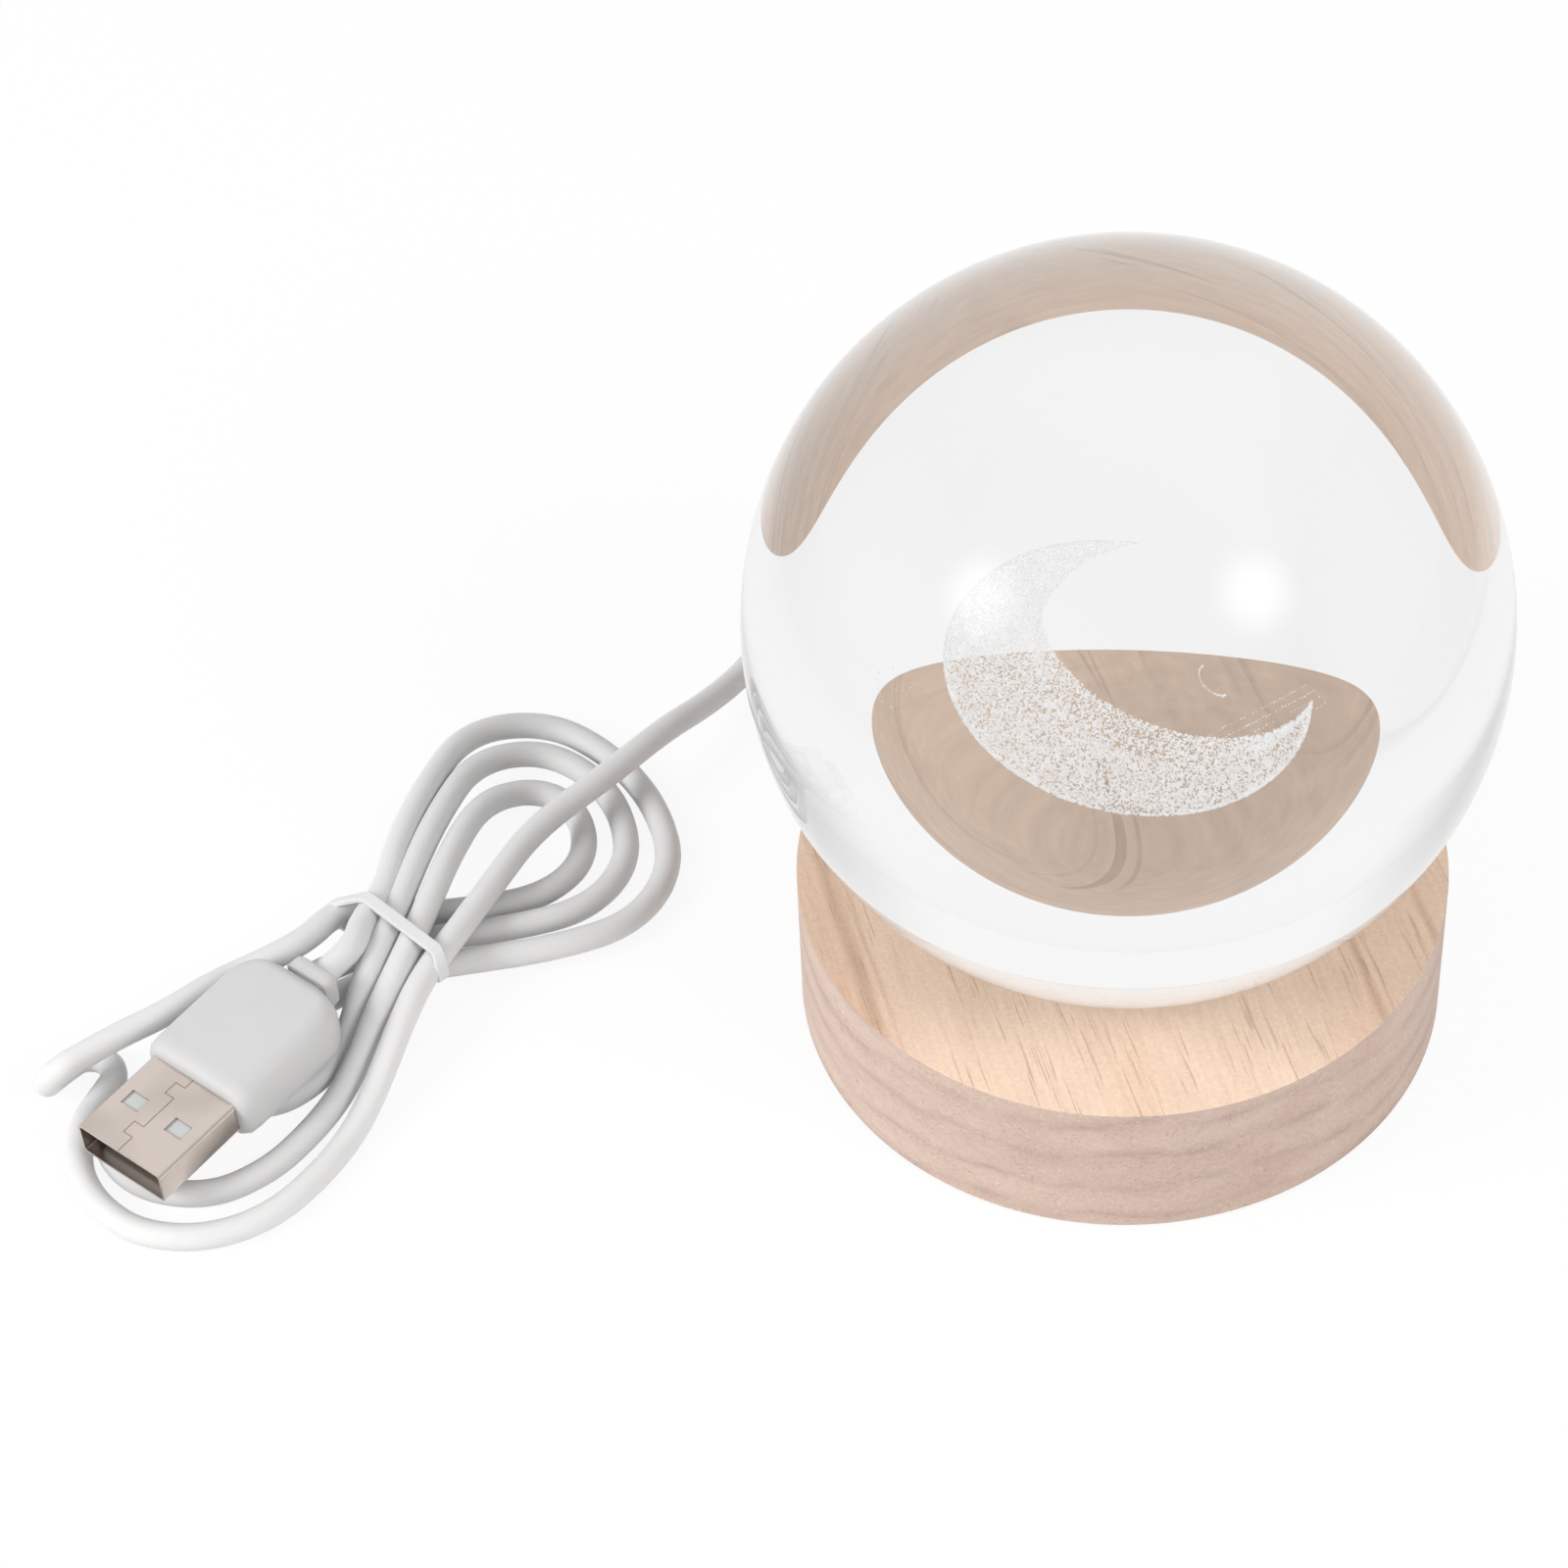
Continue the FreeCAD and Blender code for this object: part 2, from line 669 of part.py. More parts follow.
def ease(share):
    share = min(max(share, 0.0), 1.0)
    return share * share * (3 - 2 * share)


def lobe_point(lobe, turn):
    """A point of a lobe at a turn from 0 to 180 degrees, in hank axes."""
    side, first, last, reach, wide_first, wide_last, lean = lobe
    angle = radians(turn)
    if turn < 90:
        swing = wide_first - (first + (last - first) / 4)
    else:
        swing = -(wide_last - (last - (last - first) / 4))
    u = side * reach * sin(angle) * (1 - lean * cos(angle))
    v = first + (last - first) * turn / 180 + swing * sin(2 * angle)
    if side < 0:
        down, span = SHORT_DROP if reach < SHORT_REACH else NEAR_DROP
        drop = ease((down - turn) / span)
        rise = ease((turn - NEAR_RISE[0]) / NEAR_RISE[1])
        z = FLOOR + (UPPER - FLOOR) * drop + (LOWER - FLOOR) * rise
    else:
        drop = ease((FAR_DROP[0] - turn) / FAR_DROP[1])
        rise = ease((turn - FAR_RISE[0]) / FAR_RISE[1])
        z = FLOOR + (LOWER - FLOOR) * drop + (UPPER - FLOOR) * rise
    return Vector(u, v, z)


def lobe_knot(lobe, turn):
    """Place and direction of the cord at a turn round a lobe."""
    step = 0.5
    here = lobe_point(lobe, turn)
    ahead = lobe_point(lobe, turn + step) - lobe_point(lobe, turn - step)
    return hank_point(*here), hank_direction(*ahead)


def biarc(start, start_direction, end, end_direction):
    """Two arcs, as (from, corner, to) each, that leave and arrive in the given directions."""
    chord = end - start
    total = start_direction + end_direction
    spread = 1 - start_direction.dot(end_direction)
    if spread < 1e-9:
        reach = chord.dot(chord) / (4 * chord.dot(start_direction))
    else:
        lean = chord.dot(total)
        reach = (sqrt(lean ** 2 + 2 * spread * chord.dot(chord)) - lean) / (2 * spread)
    joint = (start + end + (start_direction - end_direction) * reach) * 0.5
    return [(start, start + start_direction * reach, joint),
            (joint, end - end_direction * reach, end)]


def arc_middle(start, corner, end):
    """The middle of the arc that touches both sides of a corner, and the arc's radius."""
    half = (end - start) * 0.5
    centre = start + half
    side = (corner - start).Length
    lean = acos(min(half.Length / side, 1.0))
    if lean < 1e-4:
        return centre, None
    radius = half.Length / sin(lean)
    return centre + (corner - centre) * (tan(lean / 2) / tan(lean)), radius


def hank_knots():
    start = RUN_END
    straight = size("cord_diameter")
    knots = [(start, RUN_END_DIRECTION), (start + RUN_END_DIRECTION * straight, RUN_END_DIRECTION)]
    knots += [lobe_knot(LOBES[0], turn) for turn in NEAR_KNOTS if turn <= TIP_FROM]
    knots += [(hank_point(*place), hank_direction(*ahead)) for place, ahead in TIP]
    for lobe in LOBES[1:]:
        for turn in NEAR_KNOTS if lobe[0] < 0 else FAR_KNOTS:
            knots.append(lobe_knot(lobe, turn))
    knots.append((hank_point(0.6, UPPER_V[3], TAIL_RISE), hank_direction(-0.85, -0.38, 0.31)))
    relief_end = plug_point(plug_length(), 0, 0)
    to_mouth = PLUG_AXIS * -1
    knots.append((relief_end - to_mouth * straight, to_mouth))
    knots.append((relief_end, to_mouth))
    return knots


def least_gap(points, reach):
    """Least distance between points that are further apart than reach along the cord."""
    along = [0.0]
    for a, b in zip(points, points[1:]):
        along.append(along[-1] + (b - a).Length)
    least = 1e9
    for i, a in enumerate(points):
        for j in range(i + 1, len(points)):
            if along[j] - along[i] > reach:
                least = min(least, (points[j] - a).Length)
    return least


def cord_hank():
    knots = hank_knots()
    edges = []
    radii = []
    points = []
    for (start, leaving), (end, arriving) in zip(knots, knots[1:]):
        for first, corner, last in biarc(start, leaving, end, arriving):
            middle, radius = arc_middle(first, corner, last)
            if radius is None:
                edge = Part.LineSegment(first, last).toShape()
            else:
                edge = Part.Arc(first, middle, last).toShape()
                radii.append(radius)
            edges.append(edge)
            steps = max(2, int(edge.Length / 0.8))
            points += edge.discretize(steps + 1)[:-1]
    thick = size("cord_diameter")
    print(f"cord_hank: tightest radius {min(radii):.1f}, least gap to itself "
          f"{least_gap(points, 3 * thick) - thick:.2f}")
    wire = Part.Wire(edges)
    return round_tube("cord_hank", wire, knots[0][0], knots[0][1], thick)


def tie_prism(name, grow, length):
    """A long rounded prism along the hank, the shape that the tied waist takes."""
    pieces = []
    radius = f"(tie_inner_radius + {grow})"
    for end, sign in (("left", "-"), ("right", "")):
        roller = part("Cylinder", f"{name}_{end}", Radius=radius, Height=length)
        roller.Placement = Placement(Vector(), Rotation(Vector(0, 1, 0), 90))
        bind(roller, Placement__Base__x=f"-{length} / 2",
             Placement__Base__y=f"{sign}tie_{end}", Placement__Base__z="tie_height")
        pieces.append(roller)
    pieces.append(part("Box", f"{name}_middle",
                       Length=length, Width="tie_left + tie_right", Height=f"2 * {radius}",
                       Placement__Base__x=f"-{length} / 2", Placement__Base__y="-tie_left",
                       Placement__Base__z=f"tie_height - {radius}"))
    return fuse(name, pieces)


def cable_tie():
    band = cut("cable_tie", tie_prism("tie_outside", "tie_thickness", "tie_width"),
               tie_prism("tie_inside", "0", "(2 * tie_width)"))
    band.Placement = Placement(WAIST, Rotation(Vector(0, 0, 1), degrees(HANK_TURN)))
    return band


# ---------------------------------------------------------------------------------------------
# Plug: x from its mouth towards the cord, y across, z up
# ---------------------------------------------------------------------------------------------
PLUG_MOUTH = Vector(-106.7, -32.3, 7.0)
PLUG_PLACE = Placement(PLUG_MOUTH, Rotation(53.2, -1.5, 0))
PLUG_AXIS = PLUG_PLACE.Rotation.multVec(Vector(1, 0, 0))


def plug_point(x, y, z):
    return PLUG_PLACE.multVec(Vector(x, y, z))


def plug_length():
    return size("shell_length") + size("overmould_length") + size("relief_length")


def rounded_rectangle(sketch, width, height, corner):
    """A rectangle about the sketch's origin, its corners rounded by tangent arcs."""
    corners = ((3, 1), (-3, 1), (-3, -1), (3, -1))
    for i, (across, up) in enumerate(corners):
        next_across, next_up = corners[(i + 1) % 4]
        along = Vector(next_across - across, next_up - up, 0).normalize() * 0.5
        sketch.addGeometry(Part.LineSegment(Vector(across, up, 0) + along,
                                            Vector(next_across, next_up, 0) - along))
    for i, (across, up) in enumerate(corners):
        centre = Vector(across - 0.5 * (1 if across > 0 else -1), up - 0.5 * (1 if up > 0 else -1), 0)
        arc_circle = Part.Circle(centre, Vector(0, 0, 1), 0.5)
        sketch.addGeometry(Part.ArcOfCircle(arc_circle, i * pi / 2, (i + 1) * pi / 2))
    rules = []
    for i in range(4):
        rules.append(("Tangent", 4 + i, 2, i, 1))
        rules.append(("Tangent", 4 + (i + 1) % 4, 1, i, 2))
        rules.append(("Horizontal" if i % 2 == 0 else "Vertical", i))
    for i in range(3):
        rules.append(("Equal", 4 + i, 5 + i))
    rules.append(("Symmetric", 4, 3, 6, 3, -1, 1))
    for rule in rules:
        sketch.addConstraint(Sketcher.Constraint(*rule))
    for rule, text in ((("DistanceX", 1, 1, 3, 1, 6.0), width),
                       (("DistanceY", 2, 1, 0, 1, 2.0), height),
                       (("Radius", 4, 0.5), corner)):
        number = sketch.addConstraint(Sketcher.Constraint(*rule))
        sketch.setExpression(f"Constraints[{number}]", formula(text))
    return sketch


def block_along(body, name, width, height, corner, length, start):
    """A pad of a rounded rectangle along the plug, from a place on its axis."""
    sketch = rounded_rectangle(sketch_on(body, name + "_outline", "YZ_Plane"), width, height, corner)
    bind(sketch, AttachmentOffset__Base__z=start)
    pad = body.newObject("PartDesign::Pad", name)
    pad.Profile = sketch
    bind(pad, Length=length)
    return pad


def round_edges(body, name, base, chosen, radius):
    """Round the edges of a feature that a test picks."""
    doc.recompute()
    names = [f"Edge{i}" for i, edge in enumerate(base.Shape.Edges, start=1) if chosen(edge)]
    fillet = body.newObject("PartDesign::Fillet", name)
    fillet.Base = (base, names)
    return bind(fillet, Radius=radius)


def runs_along(edge):
    return abs(edge.tangentAt(edge.FirstParameter).x) > 0.99


# The folded shell's seam along its top, mouth to overmould, stepping round two tabs.
SEAM = [
    ("0", "0"),
    ("seam_tab_first", "0"),
    ("seam_tab_first", "seam_tab_reach"),
    ("(seam_tab_first + seam_tab_length)", "seam_tab_reach"),
    ("(seam_tab_first + seam_tab_length)", "0"),
    ("seam_tab_second", "0"),
    ("seam_tab_second", "seam_tab_reach"),
    ("(seam_tab_second + seam_tab_length)", "seam_tab_reach"),
    ("(seam_tab_second + seam_tab_length)", "0"),
    ("shell_length", "0"),
]


def plug_shell():
    """The folded metal shell: a thin rectangular tube, open at the mouth, with its windows."""
    body = doc.addObject("PartDesign::Body", "plug_shell")
    block_along(body, "shell_block", "shell_width", "shell_height", "shell_corner",
                "shell_length", "0")
    inside = rounded_rectangle(sketch_on(body, "shell_inside", "YZ_Plane"),
                               "shell_width - 2 * shell_wall", "shell_height - 2 * shell_wall",
                               "shell_corner - shell_wall")
    hollow = body.newObject("PartDesign::Pocket", "shell_hollow")
    hollow.Profile = inside
    hollow.Reversed = True
    bind(hollow, Length="shell_length")
    for i, side in enumerate(("-", "")):
        feature(body, "SubtractiveBox", f"window_{i}",
                Length="window_length", Width="window_width", Height="shell_height * 2",
                Placement__Base__x="window_from_mouth",
                Placement__Base__y=f"{side}window_spread / 2 - window_width / 2",
                Placement__Base__z="-shell_height")
    for i, ((x, y), (next_x, next_y)) in enumerate(zip(SEAM, SEAM[1:])):
        feature(body, "SubtractiveBox", f"seam_{i}",
                Length=f"abs({next_x} - {x}) + seam_width",
                Width=f"abs({next_y} - {y}) + seam_width", Height="seam_depth * 2",
                Placement__Base__x=f"min({x}; {next_x}) - seam_width / 2",
                Placement__Base__y=f"min({y}; {next_y}) - seam_width / 2",
                Placement__Base__z="shell_height / 2 - seam_depth")
    body.Placement = PLUG_PLACE
    return body


def plug_insulator():
    """The tongue under the shell's roof."""
    tongue = part("Box", "plug_insulator",
                  Length="shell_length - insulator_recess",
                  Width="shell_width - 2 * shell_wall - 2 * insulator_clearance",
                  Height="insulator_thickness")
    return seat_in_plug(tongue, size("insulator_recess"),
                        -size("shell_width") / 2 + size("shell_wall") + size("insulator_clearance"),
                        insulator_bottom())


def insulator_bottom():
    return size("shell_height") / 2 - size("shell_wall") - size("insulator_thickness")


def seat_in_plug(thing, x, y, z):
    """Put a thing that is drawn from its own corner at a place of the plug."""
    thing.Placement = Placement(plug_point(x, y, z), PLUG_PLACE.Rotation)
    return thing


def plug_contacts():
    """Four flat contacts on the tongue's free face."""
    strips = []
    for i in range(4):
        strip = part("Box", f"contact_{i}",
                     Length="contact_length", Width="contact_width", Height="contact_thickness")
        middle = (i - 1.5) * size("contact_pitch")
        strips.append(seat_in_plug(strip, size("contact_start"), middle - size("contact_width") / 2,
                                   insulator_bottom() - size("contact_thickness")))
    return group("plug_contacts", strips)


def plug_overmould():
    body = doc.addObject("PartDesign::Body", "plug_overmould")
    block = block_along(body, "overmould_block", "overmould_width", "overmould_height",
                        "overmould_corner", "overmould_length", "shell_length")
    round_edges(body, "overmould_ends", block, lambda edge: not runs_along(edge),
                "overmould_end_round")
    body.Placement = PLUG_PLACE
    return body


def plug_strain_relief():
    """A short tapered block with slots across it, so that it bends with the cord."""
    body = doc.addObject("PartDesign::Body", "plug_strain_relief")
    start = "(shell_length + overmould_length)"
    near = rounded_rectangle(sketch_on(body, "relief_near", "YZ_Plane"),
                             "relief_width", "relief_height", "relief_corner")
    bind(near, AttachmentOffset__Base__z=start)
    far = rounded_rectangle(sketch_on(body, "relief_far", "YZ_Plane"),
                            "relief_end_width", "relief_end_height", "relief_corner")
    bind(far, AttachmentOffset__Base__z=f"{start} + relief_length")
    taper = body.newObject("PartDesign::AdditiveLoft", "relief_taper")
    taper.Profile = near
    taper.Sections = [far]
    taper.Ruled = True
    for i in range(2):
        for side in ("left", "right"):
            feature(body, "SubtractiveBox", f"slot_{side}_{i}",
                    Length="relief_slot_width", Width="relief_slot_depth + relief_width",
                    Height="relief_height * 2",
                    Placement__Base__x=f"{start} + relief_slot_pitch * {i + 1} - relief_slot_width / 2",
                    Placement__Base__y=("-relief_width * 1.5" if side == "left"
                                        else "relief_width / 2 - relief_slot_depth"),
                    Placement__Base__z="-relief_height")
    body.Placement = PLUG_PLACE
    return body


# ---------------------------------------------------------------------------------------------
# Build, check and write
# ---------------------------------------------------------------------------------------------
def build():
    return [
        wooden_base(), crystal_ball(), crescent("crescent_engraving", "0"),
        light_diffuser(), led_board(), led_chips(), chip_resistors(), board_screws(),
        bottom_cover(), cover_screws(), base_pad(),
        cord_lead_in(), glue_anchor(), solder_joints(),
        lead_wire("lead_wire_red", -1), lead_wire("lead_wire_black", 1),
        cord_run(), cord_hank(), cable_tie(),
        plug_shell(), plug_insulator(), plug_contacts(), plug_overmould(), plug_strain_relief(),
    ]


def check_and_write(nodes):
    doc.recompute()
    for thing in doc.Objects:
        if "Invalid" in thing.State or "Error" in thing.State:
            raise RuntimeError(f"{thing.Name} failed: {thing.getStatusString()}")
    for node in nodes:
        if node.Shape.isNull() or not node.Shape.isValid():
            raise RuntimeError(f"{node.Label} has no valid shape")
    os.makedirs("parts", exist_ok=True)
    for node in nodes:
        node.Shape.exportStep(os.path.join("parts", node.Label + ".step"))
        box = node.Shape.BoundBox
        print(f"{node.Label:22s} solids {len(node.Shape.Solids)}  volume {node.Shape.Volume:10.2f}  "
              f"x {box.XMin:.1f}..{box.XMax:.1f}  y {box.YMin:.1f}..{box.YMax:.1f}  "
              f"z {box.ZMin:.2f}..{box.ZMax:.2f}")


check_and_write(build())
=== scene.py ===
import random
from math import cos, hypot, pi, radians, sin, sqrt

import bpy
import bmesh
from mathutils import Euler, Matrix, Vector


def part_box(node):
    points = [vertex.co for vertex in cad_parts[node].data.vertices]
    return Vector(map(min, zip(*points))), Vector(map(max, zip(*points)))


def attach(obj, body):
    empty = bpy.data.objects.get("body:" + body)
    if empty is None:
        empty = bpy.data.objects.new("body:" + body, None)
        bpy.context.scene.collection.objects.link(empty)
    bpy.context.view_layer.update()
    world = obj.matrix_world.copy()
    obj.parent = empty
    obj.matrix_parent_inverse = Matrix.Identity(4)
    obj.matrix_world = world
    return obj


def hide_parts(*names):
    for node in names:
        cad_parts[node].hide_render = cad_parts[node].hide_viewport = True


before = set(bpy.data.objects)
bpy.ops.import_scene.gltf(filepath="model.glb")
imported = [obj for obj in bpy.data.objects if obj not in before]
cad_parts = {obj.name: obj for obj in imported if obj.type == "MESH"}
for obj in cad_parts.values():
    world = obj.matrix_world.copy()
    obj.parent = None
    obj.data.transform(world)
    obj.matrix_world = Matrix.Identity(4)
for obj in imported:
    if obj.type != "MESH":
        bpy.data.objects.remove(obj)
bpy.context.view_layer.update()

MM = 0.001                      # the scene is in metres, and most sizes below are in millimetres


# ---------------------------------------------------------------------------------------------
# Camera: the photograph's view, pitched down from the front
# ---------------------------------------------------------------------------------------------
CAMERA_PLACE = Vector((-10.91, -353.06, 419.44)) * MM
CAMERA_PITCH = radians(42.3)    # from straight down
CAMERA_LENS = 112.5
CAMERA_SHIFT = -0.152


def add_camera():
    data = bpy.data.cameras.new("camera")
    data.lens = CAMERA_LENS
    data.sensor_width = 36.0
    data.shift_x = CAMERA_SHIFT
    data.clip_start = 0.01
    data.clip_end = 20.0
    camera = bpy.data.objects.new("camera", data)
    camera.location = CAMERA_PLACE
    camera.rotation_euler = (CAMERA_PITCH, 0.0, 0.0)
    bpy.context.scene.collection.objects.link(camera)
    bpy.context.scene.camera = camera


# ---------------------------------------------------------------------------------------------
# Material nodes
# ---------------------------------------------------------------------------------------------
class Shader:
    """A material with one Principled shader, and short calls for the nodes that drive it."""

    def __init__(self, name, colour, roughness, **sockets):
        self.material = bpy.data.materials.new(name)
        self.material.use_nodes = True
        self.nodes = self.material.node_tree.nodes
        self.links = self.material.node_tree.links
        self.shader = self.nodes["Principled BSDF"]
        self.set("Base Color", (*colour, 1.0))
        self.set("Roughness", roughness)
        for socket, value in sockets.items():
            self.set(socket.replace("_", " "), value)

    def set(self, socket, value):
        self.shader.inputs[socket].default_value = value

    def link(self, source, socket):
        self.links.new(source, self.shader.inputs[socket])

    def place(self, scale=(1.0, 1.0, 1.0), turn=(0.0, 0.0, 0.0)):
        """Object coordinates in millimetres, first turned and then scaled."""
        vector = self.nodes.new("ShaderNodeTexCoord").outputs["Object"]
        for socket, value in (("Rotation", turn), ("Scale", tuple(s / MM for s in scale))):
            mapping = self.nodes.new("ShaderNodeMapping")
            mapping.inputs[socket].default_value = value
            self.links.new(vector, mapping.inputs["Vector"])
            vector = mapping.outputs["Vector"]
        return vector

    def noise(self, where, scale, detail, roughness=0.5):
        node = self.nodes.new("ShaderNodeTexNoise")
        node.inputs["Scale"].default_value = scale
        node.inputs["Detail"].default_value = detail
        node.inputs["Roughness"].default_value = roughness
        self.links.new(where, node.inputs["Vector"])
        return node.outputs["Fac"]

    def ramp(self, value, *stops):
        """Grey or colour stops as (position, value) pairs."""
        node = self.nodes.new("ShaderNodeValToRGB")
        elements = node.color_ramp.elements
        while len(elements) < len(stops):
            elements.new(0.5)
        for element, (position, level) in zip(elements, stops):
            rgb = level if isinstance(level, tuple) else (level, level, level)
            element.position = position
            element.color = (*rgb, 1.0)
        self.links.new(value, node.inputs["Fac"])
        return node.outputs["Color"]

    def math(self, kind, first, second=0.0):
        node = self.nodes.new("ShaderNodeMath")
        node.operation = kind
        for socket, value in zip(node.inputs, (first, second)):
            if isinstance(value, (int, float)):
                socket.default_value = value
            else:
                self.links.new(value, socket)
        return node.outputs[0]

    def mix(self, share, first, second, blend="MIX"):
        node = self.nodes.new("ShaderNodeMix")
        node.data_type = "RGBA"
        node.blend_type = blend
        for socket, value in ((node.inputs["Factor"], share), (node.inputs[6], first),
                              (node.inputs[7], second)):
            if isinstance(value, (int, float)):
                socket.default_value = value
            elif isinstance(value, tuple):
                socket.default_value = (*value, 1.0)
            else:
                self.links.new(value, socket)
        return node.outputs[2]

    def split(self, vector):
        node = self.nodes.new("ShaderNodeSeparateXYZ")
        self.links.new(vector, node.inputs[0])
        return node.outputs

    def bump(self, height, distance, strength):
        node = self.nodes.new("ShaderNodeBump")
        node.inputs["Distance"].default_value = distance * MM
        node.inputs["Strength"].default_value = strength
        self.links.new(height, node.inputs["Height"])
        self.links.new(node.outputs["Normal"], self.shader.inputs["Normal"])


FIBRE_TURN = (0.0, 0.0, radians(73.7))
RING_BELOW = 150.0              # the tree's middle lies this far under the table
RING_ASIDE = 6.0                # and this far to one side of the base's middle
RING_WOBBLE = 7.0
RING_SPACING = 4.9
WOOD_TONE = (0.84, 0.64, 0.47)  # plain colours: early wood has two shades, late wood one
EARLY_TOP = ((0.845, 0.63, 0.48), (0.875, 0.66, 0.51))
LATE_TOP = (0.76, 0.505, 0.355)
# the side's colours are the top's made darker and greyer: painted shade on the side
EARLY_SIDE_PAINTED_SHADE = ((0.545, 0.40, 0.335), (0.60, 0.47, 0.395))
LATE_SIDE_PAINTED_SHADE = (0.44, 0.315, 0.265)
LINE_BROWN = (0.50, 0.29, 0.18)
PORE_BROWN = (0.40, 0.24, 0.15)
FUZZ_PALE = (0.80, 0.70, 0.62)
LINE_WANDER = 2.4
# long darker lines on top: place across the fibres, half width, share of the dark colour
FIBRE_LINES = ((-30.3, 1.3, 0.5), (-28.6, 0.4, 0.3), (21.5, 0.6, 0.5), (22.8, 0.3, 0.3),
               (30.3, 0.7, 0.4))


def wood():
    """Flat-sawn pale wood. The fibres run from back left to front right. Growth layers lie nearly
    level: a few long lines on top, soft wavy bands round the side, short dark pores in both."""
    s = Shader("pale_wood", WOOD_TONE, 0.62)

    def grain(scale, detail, *stops):
        """A pattern drawn out along the fibres."""
        return s.ramp(s.noise(s.place(scale, FIBRE_TURN), 1.0, detail), *stops)

    y, z = s.split(s.place(turn=FIBRE_TURN))[1:3]
    drift = s.noise(s.place((0.02, 0.07, 0.07), FIBRE_TURN), 1.0, 3.0)
    squares = [s.math("POWER", s.math("ADD", place, middle), 2.0)
               for place, middle in ((z, RING_BELOW), (y, RING_ASIDE))]
    radius = s.math("SQRT", s.math("ADD", *squares))
    ring = s.math("ADD", radius, s.math("MULTIPLY", drift, RING_WOBBLE))
    layer = s.math("FRACT", s.math("DIVIDE", ring, RING_SPACING))
    late = s.ramp(layer, (0.0, 0.55), (0.16, 0.12), (0.45, 0.0), (0.72, 0.4), (0.88, 1.0),
                  (1.0, 0.55))
    broken = grain((0.05, 0.16, 0.5), 3.0, (0.35, 0.15), (0.65, 1.0))
    late = s.math("MULTIPLY", late, broken)
    patches = grain((0.03, 0.09, 0.16), 3.0, (0.3, 0.0), (0.7, 1.0))
    top = s.mix(late, s.mix(patches, *EARLY_TOP), LATE_TOP)
    side = s.mix(late, s.mix(patches, *EARLY_SIDE_PAINTED_SHADE), LATE_SIDE_PAINTED_SHADE)
    wander = s.math("ADD", y, s.math("MULTIPLY", drift, LINE_WANDER))
    for middle, half, share in FIBRE_LINES:
        off = s.math("ABSOLUTE", s.math("SUBTRACT", wander, middle))
        line = s.ramp(s.math("DIVIDE", off, half), (0.0, 1.0), (0.35, 0.7), (1.0, 0.0))
        top = s.mix(s.math("MULTIPLY", line, share), top, LINE_BROWN)
    streaks = s.math("MULTIPLY", grain((0.13, 3.6, 3.6), 1.0, (0.61, 0.0), (0.69, 1.0)),
                     grain((0.06, 0.5, 0.5), 2.0, (0.42, 0.0), (0.56, 1.0)))
    fuzz = s.noise(s.place((2.6, 2.6, 3.4)), 1.0, 3.0, 0.7)
    specks = s.ramp(s.noise(s.place((2.2, 2.2, 3.0)), 1.0, 1.0), (0.66, 0.0), (0.74, 1.0))
    side = s.mix(s.math("MULTIPLY", specks, 0.35), side, FUZZ_PALE)
    normal = s.nodes.new("ShaderNodeNewGeometry").outputs["Normal"]
    # upward faces take the top colours, all others the darker side colours: painted shade
    up = s.ramp(s.split(normal)[2], (0.45, 0.0), (0.62, 1.0))
    body = s.mix(up, side, top)
    body = s.mix(s.math("MULTIPLY", streaks, 0.42), body, PORE_BROWN)
    fine = grain((0.10, 1.6, 1.6), 3.0, (0.3, 0.94), (0.7, 1.04))
    body = s.mix(1.0, body, fine, "MULTIPLY")
    body = s.mix(0.3, body, s.ramp(fuzz, (0.3, 0.72), (0.7, 1.25)), "MULTIPLY")
    s.link(body, "Base Color")
    s.link(s.ramp(late, (0.0, 0.68), (1.0, 0.55)), "Roughness")
    relief = s.math("ADD", s.math("MULTIPLY", fuzz, 0.6), s.math("MULTIPLY", streaks, -0.8))
    s.bump(relief, 0.05, 0.7)
    return s.material


def clear_glass():
    """Optical glass, very slightly grey."""
    s = Shader("crystal_glass", (0.92, 0.92, 0.92), 0.0, Transmission_Weight=1.0, IOR=1.517)
    return s.material


def fracture_white():
    """Tiny fractures in the glass: matt white, with a weak emission that is a painted glow
    standing in for light scattered inside the glass.
    """
    # the emission is painted light: the fractures give no light of their own
    s = Shader("engraved_glass", (0.95, 0.95, 0.96), 0.6, Emission_Color=(1.0, 1.0, 1.0, 1.0),
               Emission_Strength=0.18)
    grain = s.noise(s.place(), 1.6, 1.0)
    s.link(s.ramp(grain, (0.3, 0.9), (0.7, 1.0)), "Base Color")
    return s.material


def soft_white(name="white_pvc", colour=(0.70, 0.70, 0.698)):
    """Soft white cord plastic: satin, with faint hand marks and a fine skin."""
    s = Shader(name, colour, 0.42, Subsurface_Weight=0.12, Subsurface_Scale=0.002,
               Specular_IOR_Level=0.4)
    marks = s.noise(s.place(), 0.12, 3.0)
    shade = s.ramp(marks, (0.3, tuple(c * 0.965 for c in colour)), (0.75, colour))
    s.link(shade, "Base Color")
    s.link(s.ramp(s.noise(s.place(), 0.6, 3.0), (0.3, 0.36), (0.7, 0.5)), "Roughness")
    s.bump(s.noise(s.place(), 4.0, 2.0), 0.012, 0.5)
    return s.material


def moulded(name, colour, roughness, grain=3.0, depth=0.01):
    """Moulded or coated plastic with a fine even texture."""
    s = Shader(name, colour, roughness)
    tone = s.noise(s.place(), 0.3, 3.0)
    s.link(s.ramp(tone, (0.3, tuple(c * 0.92 for c in colour)), (0.7, colour)), "Base Color")
    s.bump(s.noise(s.place(), grain, 2.0), depth, 0.6)
    return s.material


